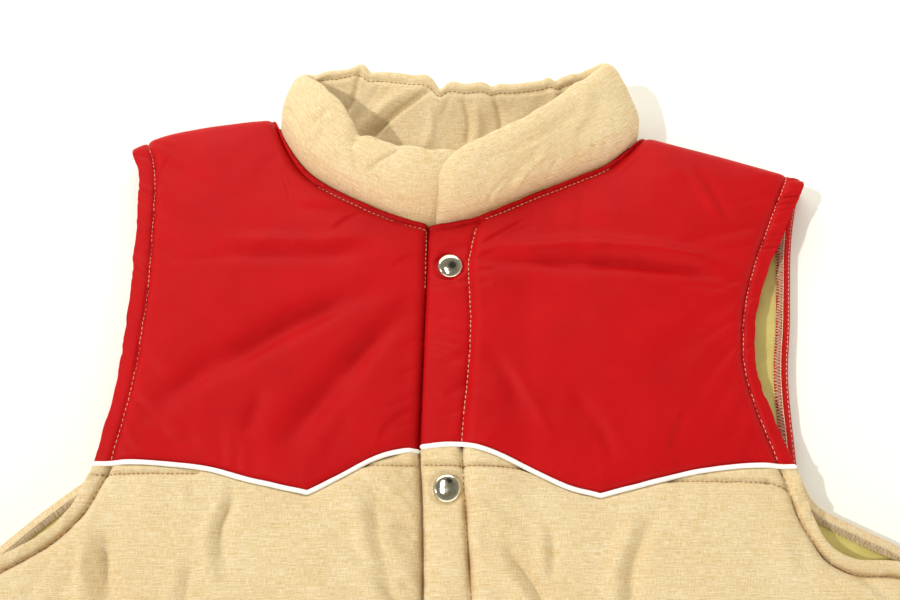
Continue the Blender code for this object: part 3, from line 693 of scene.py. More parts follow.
def folds(side, points):
    h = np.zeros(len(points))
    for k, f in enumerate(FOLDS[side]):
        line = smooth(f.path, 10)
        low, high = line.min(0) - 5 * f.width, line.max(0) + 5 * f.width
        near = np.where(((points > low) & (points < high)).all(1))[0]
        if not len(near):
            continue
        d, s, sign = nearest(points[near], line)
        total = arc(line)[-1]
        taper = ease(s / (0.35 * total)) * ease((total - s) / (0.35 * total))
        uneven = 1 + 0.3 * noise1(s, 17.0, 11 + k)
        wide = f.width * (1 + 0.25 * noise1(s, 23.0, 31 + k))
        if f.kind == "step":
            q = sign * d / wide
            h[near] += f.height * uneven * taper * q * np.exp(0.5 - q * q / 2)
        elif f.kind == "crease":
            h[near] += f.height * uneven * taper * sign * np.tanh(d / 1.1) * np.exp(-d / wide)
        else:
            h[near] -= f.height * uneven * taper * np.exp(-((d / wide) ** 2))
    return h


Dent = namedtuple("Dent", "height width path")
DENTS = [
    Dent(1.1, 3.6, [Pt(-3, 32), Pt(3, 34), Pt(11, 36)]),
    Dent(0.5, 1.6, [Pt(-13, 26), Pt(-8, 27), Pt(-5, 28)]),
    Dent(0.6, 2.2, [Pt(-12, 11), Pt(-2, 10), Pt(8, 12)]),
    Dent(0.5, 2.4, [Pt(-14, -16), Pt(-8, -14), Pt(-4, -12)]),
    Dent(0.6, 3.0, [Pt(8, -34), Pt(4, -38), Pt(-2, -40)]),
    Dent(0.6, 2.6, [Pt(9, -52), Pt(4, -56), Pt(0, -58)]),
    Dent(0.4, 2.0, [Pt(8, -66), Pt(2, -69), Pt(-4, -70)]),
]


def front_heights(side, kind, points):
    """Underside and top of a front at plan points."""
    x, y = points[:, 0], points[:, 1]
    d_side = nearest(points, even(SIDE[side], 6))[0]
    d_sh, s_sh, _ = nearest(points, even(smooth(SHOULDER[side]), 3))
    seam = np.minimum(d_side, d_sh)
    arm_line = even(np.vstack([smooth(FRONT_UNDERARM[side]), smooth(FRONT_ARMHOLE[side])[1:]]), 3)
    d_arm, s_arm, _ = nearest(points, arm_line)
    d_neck, s_neck, _ = nearest(points, even(smooth(FRONT_NECK[side]), 3))
    d_pipe, s_pipe, _ = nearest(points, even(np.vstack([smooth(YOKE_EDGE[side][0]), smooth(YOKE_EDGE[side][1])[1:]]), 2))
    d_hem = y - HEM_Y
    over = x - line_x(PLACKET_EDGE, y)
    seed = 1 if side == "right" else 51

    low = FRONT_Z + GAPE * (1 - ease(d_arm / 45))
    low = SEAM_Z + (low - SEAM_Z) * np.sqrt(1 - (1 - np.clip(seam / 12, 0, 1)) ** 2)
    low = low + 2.5 * (1 - np.sqrt(1 - (1 - np.clip(d_arm / 4, 0, 1)) ** 2)) * ease(seam / 10)

    band = line_x(BAND[side], y)
    t = d_arm / band
    arm = np.where(d_arm < band, 0.15 + (0.15 if kind == "yoke" else 0.03) * t + (0.24 if kind == "yoke" else 0.34) * hump(t) ** 0.6, pillow(d_arm - band, 0.30 if kind == "yoke" else 0.18, 0.62, 7.0, 50.0))
    collar_band = line_x(NECK_BAND, y)
    t = d_neck / collar_band
    neck = np.where(d_neck < collar_band, 0.32 + 0.16 * hump(t), pillow(d_neck - collar_band, 0.30, 0.70, 6.0, 38.0))
    side_share = 0.26 + 0.74 * np.sqrt(1 - (1 - np.clip(seam / 34, 0, 1)) ** 2)
    pipe = pillow(d_pipe, 0.42, 0.74, 5.0, 30.0)
    t = d_hem / HEM_BAND
    hem = np.where(d_hem < HEM_BAND, 0.12 + 0.08 * t + 0.40 * hump(t), pillow(d_hem - HEM_BAND, 0.20, 0.66, 7.0, 46.0))
    if side == "left":
        wide = line_x(PLACKET_STITCH, y) - line_x(PLACKET_EDGE, y)
        t = over / wide
        front = np.where(over < wide, 0.14 + 0.22 * t + 0.26 * hump(t) ** 0.7, pillow(over - wide, 0.36 if kind == "yoke" else 0.27, 0.66, 7.0, 44.0))
        low = low + PLACKET_LIFT * ease((62 - over) / 34) * (0.45 + 0.55 * ease(d_neck / 14))
        d_front = np.abs(over - wide)
        on_placket = over < wide
    else:
        gone = UNDERLAP_SHIFT - over - PLACKET_WIDTH
        front = np.where(gone < 0, 0.24 - 0.16 * (1 - ease(d_neck / 14)), pillow(gone, 0.38, 0.66, 5.0, 44.0))
        d_front = np.maximum(gone, 0)
        on_placket = gone < 0
    share = joined([arm, neck, side_share, pipe, hem, front])

    free = ease(d_arm / 12) * ease(seam / 25) * ease(d_pipe / 9) * ease(d_neck / 14) * ease(d_front / 10) * ease(d_hem / 30)
    h = folds(side, points) * np.where(on_placket, 0.0, ease(d_arm / (band + 4)) * ease(d_pipe / 6) * ease(d_front / 5))
    h += free * (0.9 * noise2(x + 0.2 * y, y, 46.0, seed) + 0.32 * noise2(x, y - 0.3 * x, 23.0, seed + 1) + 0.08 * noise2(x, y, 10.0, seed + 2))
    on_band = d_arm < band
    body = 1.0 if kind == "yoke" else 0.8
    cross = noise1(s_arm + 0.9 * d_arm, 5.2, seed + 4)
    h += np.where(on_band, 2.4 * (np.sqrt(cross * cross + 0.02) - 0.4) * np.clip(0.6 + 0.6 * noise1(s_arm, 22.0, seed + 6), 0, 1), 0)
    h += np.where(on_band, 0, gathers(s_arm, d_arm - band, seed + 5, 0.8, 2.0 * body))
    cross = noise1(s_neck - 0.4 * d_neck, 4.6, seed + 6)
    h += np.where(d_neck < collar_band, 1.3 * (np.abs(cross) - 0.4) * hump(d_neck / collar_band), gathers(s_neck, d_neck - collar_band, seed + 8, -0.6, 1.2))
    h += np.where(d_arm > band, gathers(s_pipe, d_pipe - 1.0, seed + 9, 0.3, 1.2 * body), 0)
    if side == "left":
        cross = noise1(y + 0.35 * over + 4 * noise1(y, 31.0, seed + 17), 7.5, seed + 12)
        h += np.where(on_placket, 1.1 * (np.sqrt(cross * cross + 0.02) - 0.4) * hump(t), gathers(y, d_front, seed + 13, *((0.5, 2.0) if kind == "yoke" else (0.9, 4.2))))
        if kind == "body":
            h -= (1.3 + 0.5 * noise1(y, 9.0, seed + 18)) * np.exp(-((d_front / 1.3) ** 2))
    else:
        h += np.where(on_placket, 0, gathers(y, d_front, seed + 13, *((0.5, 2.0) if kind == "yoke" else (-1.1, 4.4))))
    h += np.where(d_hem < 120, gathers(x, np.abs(d_hem - HEM_BAND), seed + 14, 0.5, 1.0), 0)
    for q in QUILT:
        if q.side == side and kind == "body":
            d_q, s_q, _ = nearest(points, np.linspace((q.x0, q.y0), (q.x1, q.y1), 12))
            h += gathers(s_q, d_q, seed + 16, 0.2, 1.8) - 2.0 * np.exp(-((d_q / 1.6) ** 2))
    top = low + FRONT_LOFT * share + h * np.clip((share - 0.06) / 0.2, 0, 1)
    # the snaps press into the placket, which bends across above and below them
    if side == "left":
        for dent in DENTS:
            d_d, s_d, _ = nearest(points, smooth(dent.path, 8))
            top = top - dent.height * np.exp(-((d_d / dent.width) ** 2)) * ease(over / 4) * np.where(on_placket, 1, ease((wide + 4 - over) / 4))
        for n in range(SNAP_COUNT):
            sy = SNAP_TOP_Y - n * SNAP_PITCH
            sx = float(line_x(PLACKET_EDGE, sy)) + 13.5
            r = np.hypot(x - sx, y - sy)
            top = top - (1.5 * np.exp(-((r / 9.0) ** 2)) + 1.6 * np.exp(-(((r - SNAP_R - 0.5) / 1.2) ** 2))) * (over > 0)
    return low, np.maximum(top, low + 0.7)


def groove_shade_share(side, points):
    """Painted shade on the beige cloth, 0 to 1: brown darkening in its stitched grooves and beside its front edge,
    where shadow falls.
    """
    x, y = points.T
    edge = line_x(PLACKET_EDGE, y)
    front = np.abs(x - line_x(PLACKET_STITCH, y)) if side == "left" else np.maximum(edge + 1.2 - x, 0)
    d_arm, s_arm, _ = nearest(points, even(np.vstack([smooth(FRONT_UNDERARM[side]), smooth(FRONT_ARMHOLE[side])[1:]]), 3))
    band = np.abs(d_arm - line_x(BAND[side], y))
    uneven = np.clip(0.6 + 0.6 * noise1(y + 0.6 * x, 8.0, 301), 0.15, 1)
    below = ease((-96 - y) / 14)
    # painted shade: narrow dark lines in the grooves by the front edge and placket stitching, and a softer shadow
    # beside the edge
    painted_shade = uneven * below * ((0.7 if side == "left" else 0.9) * np.exp(-((front / 1.2) ** 2)) + (0.12 if side == "left" else 0.30) * np.exp(-front / 6.0))
    painted_shade += np.clip(0.6 + 0.5 * noise1(s_arm, 11.0, 303), 0.2, 1) * (0.5 * np.exp(-((band / 0.9) ** 2)) + 0.10 * np.exp(-band / 3.0))
    if side == "left":
        painted_shade += 0.5 * uneven * np.exp(-(((x - edge) / 1.2) ** 2)) * below
    for q in QUILT:
        if q.side == side:
            painted_shade += 0.28 * np.exp(-((nearest(points, np.linspace((q.x0, q.y0), (q.x1, q.y1), 12))[0] / 0.9) ** 2))
    return np.clip(painted_shade, 0, 0.9)


def held_down(side, points):
    """How firmly the cloth is held at each point: 1 at edges and stitches, little on the padding."""
    y = points[:, 1]
    lines = [even(SIDE[side], 6), even(smooth(SHOULDER[side]), 3), even(smooth(FRONT_NECK[side]), 3)]
    lines += [even(np.vstack([smooth(YOKE_EDGE[side][0]), smooth(YOKE_EDGE[side][1])[1:]]), 3)]
    far = np.min([nearest(points, line)[0] for line in lines] + [y - HEM_Y, np.abs(y - HEM_Y - HEM_BAND)], axis=0)
    d_arm = nearest(points, even(np.vstack([smooth(FRONT_UNDERARM[side]), smooth(FRONT_ARMHOLE[side])[1:]]), 3))[0]
    d_neck = nearest(points, lines[2])[0]
    far = np.minimum(far, np.where(d_arm < line_x(BAND[side], y), 0, d_arm - line_x(BAND[side], y)))
    far = np.minimum(far, np.maximum(d_neck - line_x(NECK_BAND, y), 0))
    if side == "left":
        far = np.minimum(far, np.maximum(points[:, 0] - line_x(PLACKET_STITCH, y), 0))
    else:
        far = np.minimum(far, np.maximum(line_x(PLACKET_EDGE, y) + 1.2 - points[:, 0], 0))
    return np.where(far < 1.6, 1.0, SOFT_HOLD)


SOFT_HOLD, SPARE_CLOTH, SETTLE_FRAMES, MOST_MOVE = 0.4, 0.002, 24, 5.0


def settle(top, held, skip):
    """Blender's cloth on a panel's top: a little more cloth than the padding needs, held at its stitches, so that it wrinkles."""
    nu, nv = top.shape[:2]
    iu = np.unique(np.concatenate([np.arange(0, nu, skip), [nu - 1]]))
    iv = np.unique(np.concatenate([np.arange(0, nv, skip), [nv - 1]]))
    coarse, hold = top[np.ix_(iu, iv)], held[np.ix_(iu, iv)]
    hold[[0, -1]] = 1
    hold[:, [0, -1]] = 1
    n = coarse.shape[:2]
    ids = np.arange(n[0] * n[1]).reshape(n)
    quads = np.stack([ids[:-1, :-1], ids[1:, :-1], ids[1:, 1:], ids[:-1, 1:]], axis=2).reshape(-1, 4)
    mesh = bpy.data.meshes.new("settling")
    mesh.from_pydata((coarse.reshape(-1, 3) * 0.01).tolist(), [], quads.tolist())  # ten times life size
    obj = bpy.data.objects.new("settling", mesh)
    scene = bpy.context.scene
    scene.collection.objects.link(obj)
    group = obj.vertex_groups.new(name="held")
    flat = hold.ravel()
    for value in np.unique(flat):
        group.add(np.where(flat == value)[0].tolist(), float(value), "REPLACE")
    cloth = obj.modifiers.new("Cloth", "CLOTH")
    st = cloth.settings
    st.quality, st.mass, st.air_damping = 6, 0.15, 2.0
    st.tension_stiffness, st.compression_stiffness, st.shear_stiffness, st.bending_stiffness = 30, 30, 10, 8.0
    st.vertex_group_mass = "held"
    st.pin_stiffness = 1.0
    st.shrink_min = st.shrink_max = -SPARE_CLOTH
    st.effector_weights.gravity = 0
    cloth.collision_settings.use_collision = False
    cloth.collision_settings.use_self_collision = False
    cloth.point_cache.frame_start, cloth.point_cache.frame_end = 1, SETTLE_FRAMES
    for f in range(1, SETTLE_FRAMES + 1):
        scene.frame_set(f)
    done = obj.evaluated_get(bpy.context.evaluated_depsgraph_get())
    co = np.empty(len(done.data.vertices) * 3, np.float32)
    done.data.vertices.foreach_get("co", co)
    moved = co.reshape(*n, 3).astype(float) * 100 - coarse
    scene.frame_set(1)
    bpy.data.objects.remove(obj)
    bpy.data.meshes.remove(mesh)
    size = np.linalg.norm(moved, axis=2)[..., None]
    moved = moved * np.minimum(1, MOST_MOVE / np.maximum(size, 1e-9))
    print("settled: mean move %.2f mm, most %.2f mm" % (size.mean(), size.max()))
    # back to the fine grid
    fine = np.empty(top.shape)
    u, v = np.arange(nu), np.arange(nv)
    for c in range(3):
        part = np.stack([np.interp(u, iu, moved[:, k, c]) for k in range(n[1])], axis=1)
        fine[..., c] = np.stack([np.interp(v, iv, part[k]) for k in range(nu)], axis=0)
    for _ in range(5):
        fine[1:-1] = (fine[:-2] + 2 * fine[1:-1] + fine[2:]) / 4
        fine[:, 1:-1] = (fine[:, :-2] + 2 * fine[:, 1:-1] + fine[:, 2:]) / 4
    return top + fine


def edge_run(side, shift):
    out = []
    for rows in YOKE_EDGE[side]:
        line = smooth(rows)
        if side == "right":
            amount = np.sign(shift) * 0.2 + (shift - np.sign(shift) * 0.2) * ease((-17 - line[:, 0]) / 6)
        else:
            amount = np.full(len(line), shift)
        out.append(line + np.stack([0 * amount, amount], axis=1))
    return out


def front_piece(side, kind):
    step = (1.25 if kind == "yoke" else 1.5) * FINE
    space = 1.0
    count = lambda mm: max(14, int(mm / step))  # noqa: E731
    if kind == "yoke":
        first, second = edge_run(side, space)
        n1, n2 = count(128), count(130)
        bottom = chain(run(first, n1, True), run(second, n2, False, True))
        top = chain(run(smooth(SHOULDER[side]), n1, True), run(smooth(FRONT_NECK[side]), n2, False, True))
        arm = smooth(FRONT_ARMHOLE[side])
        along = arc(arm)
        wavy = 0.55 * noise1(along, 11.0, 301) + 0.35 * noise1(along, 5.5, 302)
        arm = inset(arm, (wavy * ease(along / 15) * ease((along[-1] - along) / 15))[:, None])
        rows = count(215)
        left = run(np.vstack([bottom[:1], arm[arm[:, 1] > bottom[0, 1] + 1]]), rows, True, True)
        right = run(np.vstack([bottom[-1:], top[-1:]]), rows, True, True)
    else:
        first, second = edge_run(side, -space)
        n1, n2 = count(140), count(120)
        top = chain(run(first, n1, True), run(second, n2, False, True))
        sign = -1 if side == "right" else 1
        hem0 = np.array([sign * HEM_HALF, HEM_Y])
        hem1 = np.array([line_x(PLACKET_EDGE, HEM_Y) + (UNDERLAP_SHIFT if side == "right" else 0), HEM_Y])
        corner = hem0 + (hem1 - hem0) * (n1 / (n1 + n2))
        bottom = chain(run(np.array([hem0, corner]), n1, True), run(np.array([corner, hem1]), n2, False, True))
        under = smooth(FRONT_UNDERARM[side])
        under = np.vstack([under[under[:, 1] < top[0, 1] - 1], top[:1]])
        r2 = count(105)
        sparse = spaced(332, 4.5 * FINE, step)
        left = chain(at(SIDE[side], sparse * arc(SIDE[side])[-1]), run(under, r2, False, True))
        ys = np.linspace(HEM_Y, top[-1, 1], 90)
        cf = np.stack([line_x(PLACKET_EDGE, ys) + (UNDERLAP_SHIFT if side == "right" else 0), ys], axis=1)
        cf[-1] = top[-1]
        cut = 0.80 * arc(cf)[-1]
        s1, s2 = sparse * cut, cut + graded(r2, False, True) * (arc(cf)[-1] - cut)
        right = at(cf, np.concatenate([s1, s2[1:]]))
    plan = up_facing(patch(bottom, top, left, right))
    flat = plan.reshape(-1, 2)
    low, high = front_heights(side, kind, flat)
    shape = (*plan.shape[:2], 3)
    grids = [np.column_stack([flat, z]).reshape(shape) for z in (high, low)]
    grids[0] = settle(grids[0], held_down(side, flat).reshape(plan.shape[:2]), 2 if kind == "yoke" else 3)
    grids[0][..., 2] = np.maximum(grids[0][..., 2], grids[1][..., 2] + 0.7)
    obj = grid_solid(f"front_{side}_{kind}_cloth", *grids, plan, RED if kind == "yoke" else BEIGE)
    if kind == "body":
        # painted shade on the beige: its stitched grooves and the front edge's shadow, darkened toward brown
        painted_shade = obj.data.attributes.new("painted_shade", "FLOAT", "POINT")
        painted_shade.data.foreach_set("value", np.tile(groove_shade_share(side, flat), 2).astype(np.float32))
    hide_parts(f"front_{side}_{kind}")
    return obj


FRONT = {(s, k): front_piece(s, k) for s in ("right", "left") for k in ("yoke", "body")}
FRONT_TREE = {s: surface_of(FRONT[s, "yoke"], FRONT[s, "body"]) for s in ("right", "left")}

# ---------------------------------------------------------------- back


def back_heights(points):
    seam = np.full(len(points), 1e3)
    arm = np.full(len(points), 1e3)
    for s in ("right", "left"):
        seam = np.minimum(seam, nearest(points, even(SIDE[s], 8))[0])
        seam = np.minimum(seam, nearest(points, even(smooth(SHOULDER[s]), 4))[0])
        arm = np.minimum(arm, nearest(points, even(np.vstack([smooth(BACK_UNDERARM[s]), smooth(BACK_ARMHOLE[s])[1:]]), 4))[0])
    hem = points[:, 1] - HEM_Y
    neck = nearest(points, even(smooth(BACK_NECK), 4))[0]
    yoke = np.abs(points[:, 1] + 97.0)
    q = lambda d, r, e: e + (1 - e) * np.sqrt(1 - (1 - np.clip(d / r, 0, 1)) ** 2)  # noqa: E731
    share = joined([q(seam, 20, 0.42), q(hem, 14, 0.42), q(arm, 8, 0.5), q(neck, 8, 0.6), q(yoke, 5, 0.75)])
    edge = np.minimum(np.minimum(seam, hem), np.minimum(arm, neck))
    low = 2.2 * (1 - np.sqrt(1 - (1 - np.clip(edge / 5, 0, 1)) ** 2)) + 0.9 * np.exp(-((yoke / 2.2) ** 2))
    lump = 0.25 * noise2(points[:, 0], points[:, 1], 31.0, 77)
    return low, np.maximum(BACK_LOFT * share + lump * ease(edge / 20) - 0.2, low + 0.8)


def back_piece(kind):
    step = 3.0 * FINE
    count = lambda mm: max(14, int(mm / step))  # noqa: E731
    seam_r, seam_l = np.array(BACK_ARMHOLE["right"][0], float), np.array(BACK_ARMHOLE["left"][0], float)
    lift = np.array([0, 0.2])
    if kind == "yoke":
        a, b = count(100), count(250)
        top = chain(run(smooth(SHOULDER["right"]), a, True), run(smooth(BACK_NECK), b), run(smooth(SHOULDER["left"])[::-1], a, False, True))
        share = arc(top) / arc(top)[-1]
        bottom = seam_r + lift + (seam_l - seam_r) * share[:, None]
        rows = count(215)
        sides = [run(np.vstack([(p + lift)[None], smooth(BACK_ARMHOLE[s])[1:]]), rows, True, True) for s, p in (("right", seam_r), ("left", seam_l))]
    else:
        share = graded(count(520), True, True)
        bottom = np.stack([-HEM_HALF + 2 * HEM_HALF * share, np.full(len(share), HEM_Y)], axis=1)
        top = seam_r - lift + (seam_l - seam_r) * share[:, None]
        sides = []
        for s, p in (("right", seam_r), ("left", seam_l)):
            under = np.vstack([smooth(BACK_UNDERARM[s])[:-1], (p - lift)[None]])
            sides.append(chain(run(SIDE[s], count(332), True), run(under, count(100), False, True)))
    plan = up_facing(patch(bottom, top, *sides))
    flat = plan.reshape(-1, 2)
    low, high = back_heights(flat)
    grids = [np.column_stack([flat, z]).reshape(*plan.shape[:2], 3) for z in (high, low)]
    obj = grid_solid(f"back_{kind}_cloth", *grids, plan, RED if kind == "yoke" else BEIGE)
    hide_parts(f"back_{kind}")
    return obj


BACK = {k: back_piece(k) for k in ("yoke", "body")}

# ---------------------------------------------------------------- inside of the back: lining and facings


def armhole_line(side):
    line = np.vstack([smooth(BACK_UNDERARM[side]), smooth(BACK_ARMHOLE[side])[1:]])
    return line, (-1 if side == "right" else 1)


def lining():
    sides = []
    for s in ("right", "left"):
        line, sign = armhole_line(s)
        out = -1 if s == "right" else 1
        edge = inset(line, 7.5 * sign)
        edge = edge[(edge[:, 1] > ARMPIT_Y + 4) & (edge[:, 1] < line[-1, 1] - 22) & (np.abs(edge[:, 0]) < CHEST_HALF - 22)]
        foot = np.array([out * (HEM_HALF - 16), HEM_Y + 16])
        pit = np.array([out * (CHEST_HALF - 22), ARMPIT_Y - 4])
        sides.append(chain(run(np.array([foot, pit]), 60), run(np.vstack([pit[None], edge]), 100)))
    low_neck = inset(smooth(BACK_NECK), -6)
    mid = low_neck[(low_neck[:, 0] > -96) & (low_neck[:, 0] < 104)]
    top = np.vstack([sides[0][-1:], mid, sides[1][-1:]])
    half = len(mid) // 2
    top = chain(run(top[: half + 1], 80), run(top[half:], 80))
    share = (arc(top) / arc(top)[-1])[:, None]
    bottom = sides[0][0] + (sides[1][0] - sides[0][0]) * share
    plan = up_facing(patch(bottom, top, *sides))
    flat = plan.reshape(-1, 2)
    x, y = flat[:, 0], flat[:, 1]
    z = 8.3 + 1.1 * np.abs(noise2(x + 0.6 * y, y, 26.0, 90)) + 0.6 * np.abs(noise2(x - 0.5 * y, y, 13.0, 91))
    z = z - 0.7 * np.exp(-(((y - 12) / 2.5) ** 2)) - 0.7 * np.exp(-(((y + 108) / 2.5) ** 2))
    grids = [np.column_stack([flat, h]).reshape(*plan.shape[:2], 3) for h in (z + 0.8, z)]
    obj = grid_solid("lining_back_cloth", *grids, plan, OLIVE)
    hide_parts("lining_back")


def facing(side, serging, edging):
    line, sign = armhole_line(side)
    s = arc(line)
    split = s[np.argmax(line[:, 1] >= -97.0)]
    across = np.array([0.5, 1.5, 3.0, 4.5, 6.0, 7.5, 8.8, 9.6])
    for kind, start, end, mat, slot in (("body", 10.0, split - 0.2, BEIGE, "beige_slub"), ("yoke", split + 0.2, s[-1] - 9.0, RED, "red_nylon")):
        where = np.linspace(start, end, max(20, int((end - start) / (1.6 * FINE))))
        rails = np.stack([at(inset(line, sign * d), np.interp(where, s, arc(inset(line, sign * d)))) for d in across], axis=0)
        wave = 0.8 * noise1(where, 13.0, 95)[None] * (across / 9)[:, None] ** 2
        z = 6.3 + 3.6 * rise(across / 7, 2.0)[:, None] + wave * 0.8 + 0.0 * where[None]
        uv = np.stack(np.broadcast_arrays(across[:, None], where[None]), axis=2)
        if np.cross(np.append(rails[1, 0] - rails[0, 0], 0), np.append(rails[0, 1] - rails[0, 0], 0))[2] < 0:
            rails, z, uv = rails[::-1], z[::-1], uv[::-1]
        grids = [np.concatenate([rails, (z + h)[..., None]], axis=2) for h in (0.9, 0.0)]
        obj = grid_solid(f"facing_{side}_{kind}_cloth", *grids, uv, mat)
        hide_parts(f"facing_{side}_{kind}")
        tree = surface_of(obj)
        # overlocked inner edge, and a row of stitches by the armhole
        steps = np.arange(start + 1.5, end - 1.5, 0.95)
        d = np.where(np.arange(len(steps)) % 2 == 0, 5.9 + 0.5 * noise1(steps, 3.0, 97), 10.1 + 0.8 * noise1(steps, 2.2, 98))
        a, b = inset(line, sign * 5.9), inset(line, sign * 9.9)
        pa, pb = at(a, np.interp(steps, s, arc(a))), at(b, np.interp(steps, s, arc(b)))
        mixed = pa + (pb - pa) * ((d - 5.9) / 4.0)[:, None]
        path = np.column_stack([mixed, drop(tree, mixed) + 0.30 + 0.12 * np.cos(np.arange(len(steps)) * 2.1)])
        serging.add(path, 0.34, 5)
        steps = steps[:-1] + 0.5
        d = np.where(np.arange(len(steps)) % 2 == 0, 6.4 + 0.6 * noise1(steps, 2.6, 197), 9.2 + 1.0 * noise1(steps, 3.1, 198))
        pa, pb = at(a, np.interp(steps, s, arc(a))), at(b, np.interp(steps, s, arc(b)))
        mixed = pa + (pb - pa) * ((d - 5.9) / 4.0)[:, None]
        serging.add(np.column_stack([mixed, drop(tree, mixed) + 0.34]), 0.24, 5)
        row = inset(line, sign * 6.0)
        lane = at(row, np.interp(np.arange(start + 1, end - 1, 1.2), s, arc(row)))
        serging.add(np.column_stack([lane, drop(tree, lane) + 0.45]), 0.2, 5)
        seam = inset(line, sign * 1.9)
        stitch_run(edging, tree, at(seam, np.interp(np.linspace(start + 2, end - 2, 120), s, arc(seam))), pitch=2.9)


serging, edging = Threads(), Threads()
lining()
facing("right", serging, edging)
facing("left", serging, edging)
serging.piece("overlock_stitches", SERGE, "beige_slub")
edging.piece("facing_stitches", CREAM, "beige_slub")

# ---------------------------------------------------------------- collar
CollarFold = namedtuple("CollarFold", "face kind height width place0 v0 place1 v1")  # place counts the sections
COLLAR_FOLDS = [
    CollarFold("inner", "ridge", 2.0, 4.5, 10.25, 0.9, 9.1, 0.15),
    CollarFold("inner", "trough", 3.4, 1.7, 10.62, 0.9, 9.3, 0.05),
    CollarFold("inner", "trough", 1.8, 2.2, 11.2, 0.15, 11.15, 0.85),
    CollarFold("inner", "ridge", 1.2, 3.0, 10.4, 0.1, 10.5, 0.7),
    CollarFold("inner", "ridge", 1.4, 3.5, 11.3, 0.1, 11.35, 0.75),
    CollarFold("inner", "trough", 1.8, 1.8, 11.75, 0.2, 11.6, 0.95),
    CollarFold("inner", "step", 1.4, 4.0, 12.4, 0.2, 13.0, 0.95),
    CollarFold("inner", "trough", 2.4, 1.8, 8.75, 0.3, 8.85, 1.0),
    CollarFold("outer", "trough", 2.6, 2.0, 3.7, 0.45, 4.1, 1.0),
    CollarFold("outer", "trough", 2.2, 1.9, 3.6, 0.5, 3.0, 1.0),
    CollarFold("outer", "step", 1.4, 2.4, 5.0, 0.45, 4.6, 1.0),
    CollarFold("outer", "trough", 1.4, 1.7, 6.6, 0.36, 5.1, 0.28),
    CollarFold("outer", "step", 0.9, 5.0, 16.2, 0.8, 17.2, 0.45),
    CollarFold("outer", "step", 0.8, 4.0, 18.6, 0.2, 17.8, 0.55),
    CollarFold("outer", "step", 0.7, 4.0, 2.6, 0.25, 3.4, 0.6),
    CollarFold("outer", "trough", 1.3, 2.0, 19.3, 0.12, 18.7, 0.42),
    CollarFold("outer", "trough", 1.0, 1.6, 18.4, 0.06, 18.2, 0.3),
    CollarFold("outer", "trough", 0.9, 1.6, 17.8, 0.06, 17.55, 0.28),
]
Rim = namedtuple("Rim", "place height width")  # dents and peaks of the rim, mm
RIM = [
    Rim(7.55, -2.2, 4), Rim(8.85, 4.2, 7), Rim(9.1, -1.5, 4), Rim(10.25, 1.6, 6), Rim(10.68, -5.2, 4.2), Rim(11.0, 1.0, 5), Rim(11.62, -2.4, 3.6),
    Rim(12.72, 1.6, 3.4), Rim(12.9, -2.0, 3.6), Rim(13.6, -1.2, 6), Rim(15.1, 1.5, 9), Rim(5.4, -1.0, 5), Rim(4.15, -3.6, 5), Rim(3.2, -1.4, 4), Rim(2.3, 0.8, 6),
]


def collar_foot(seam, place):
    """Where the collar's foot is sewn in: the nearest neck edge, just under the yoke's cloth."""
    foot = np.empty_like(seam)
    pick = np.where(place < 7.4, 0, np.where(place < 14.6, 1, 2))
    for k, name in enumerate(("right", "back", "left")):
        on = np.where(pick == k)[0]
        line = even(smooth(BACK_NECK if name == "back" else FRONT_NECK[name]), 1.0)
        foot[on, :2] = at(line, nearest(seam[on, :2], line)[1])
        if name == "back":
            foot[on, 2] = 6.0
        else:
            into = inset(line, -1.8 if name == "right" else 1.8)
            foot[on, 2] = drop(FRONT_TREE[name], at(into, nearest(seam[on, :2], into)[1])) - 0.9
    for _ in range(14):
        foot[1:-1] = (foot[:-2] + 2 * foot[1:-1] + foot[2:]) / 4
    return foot


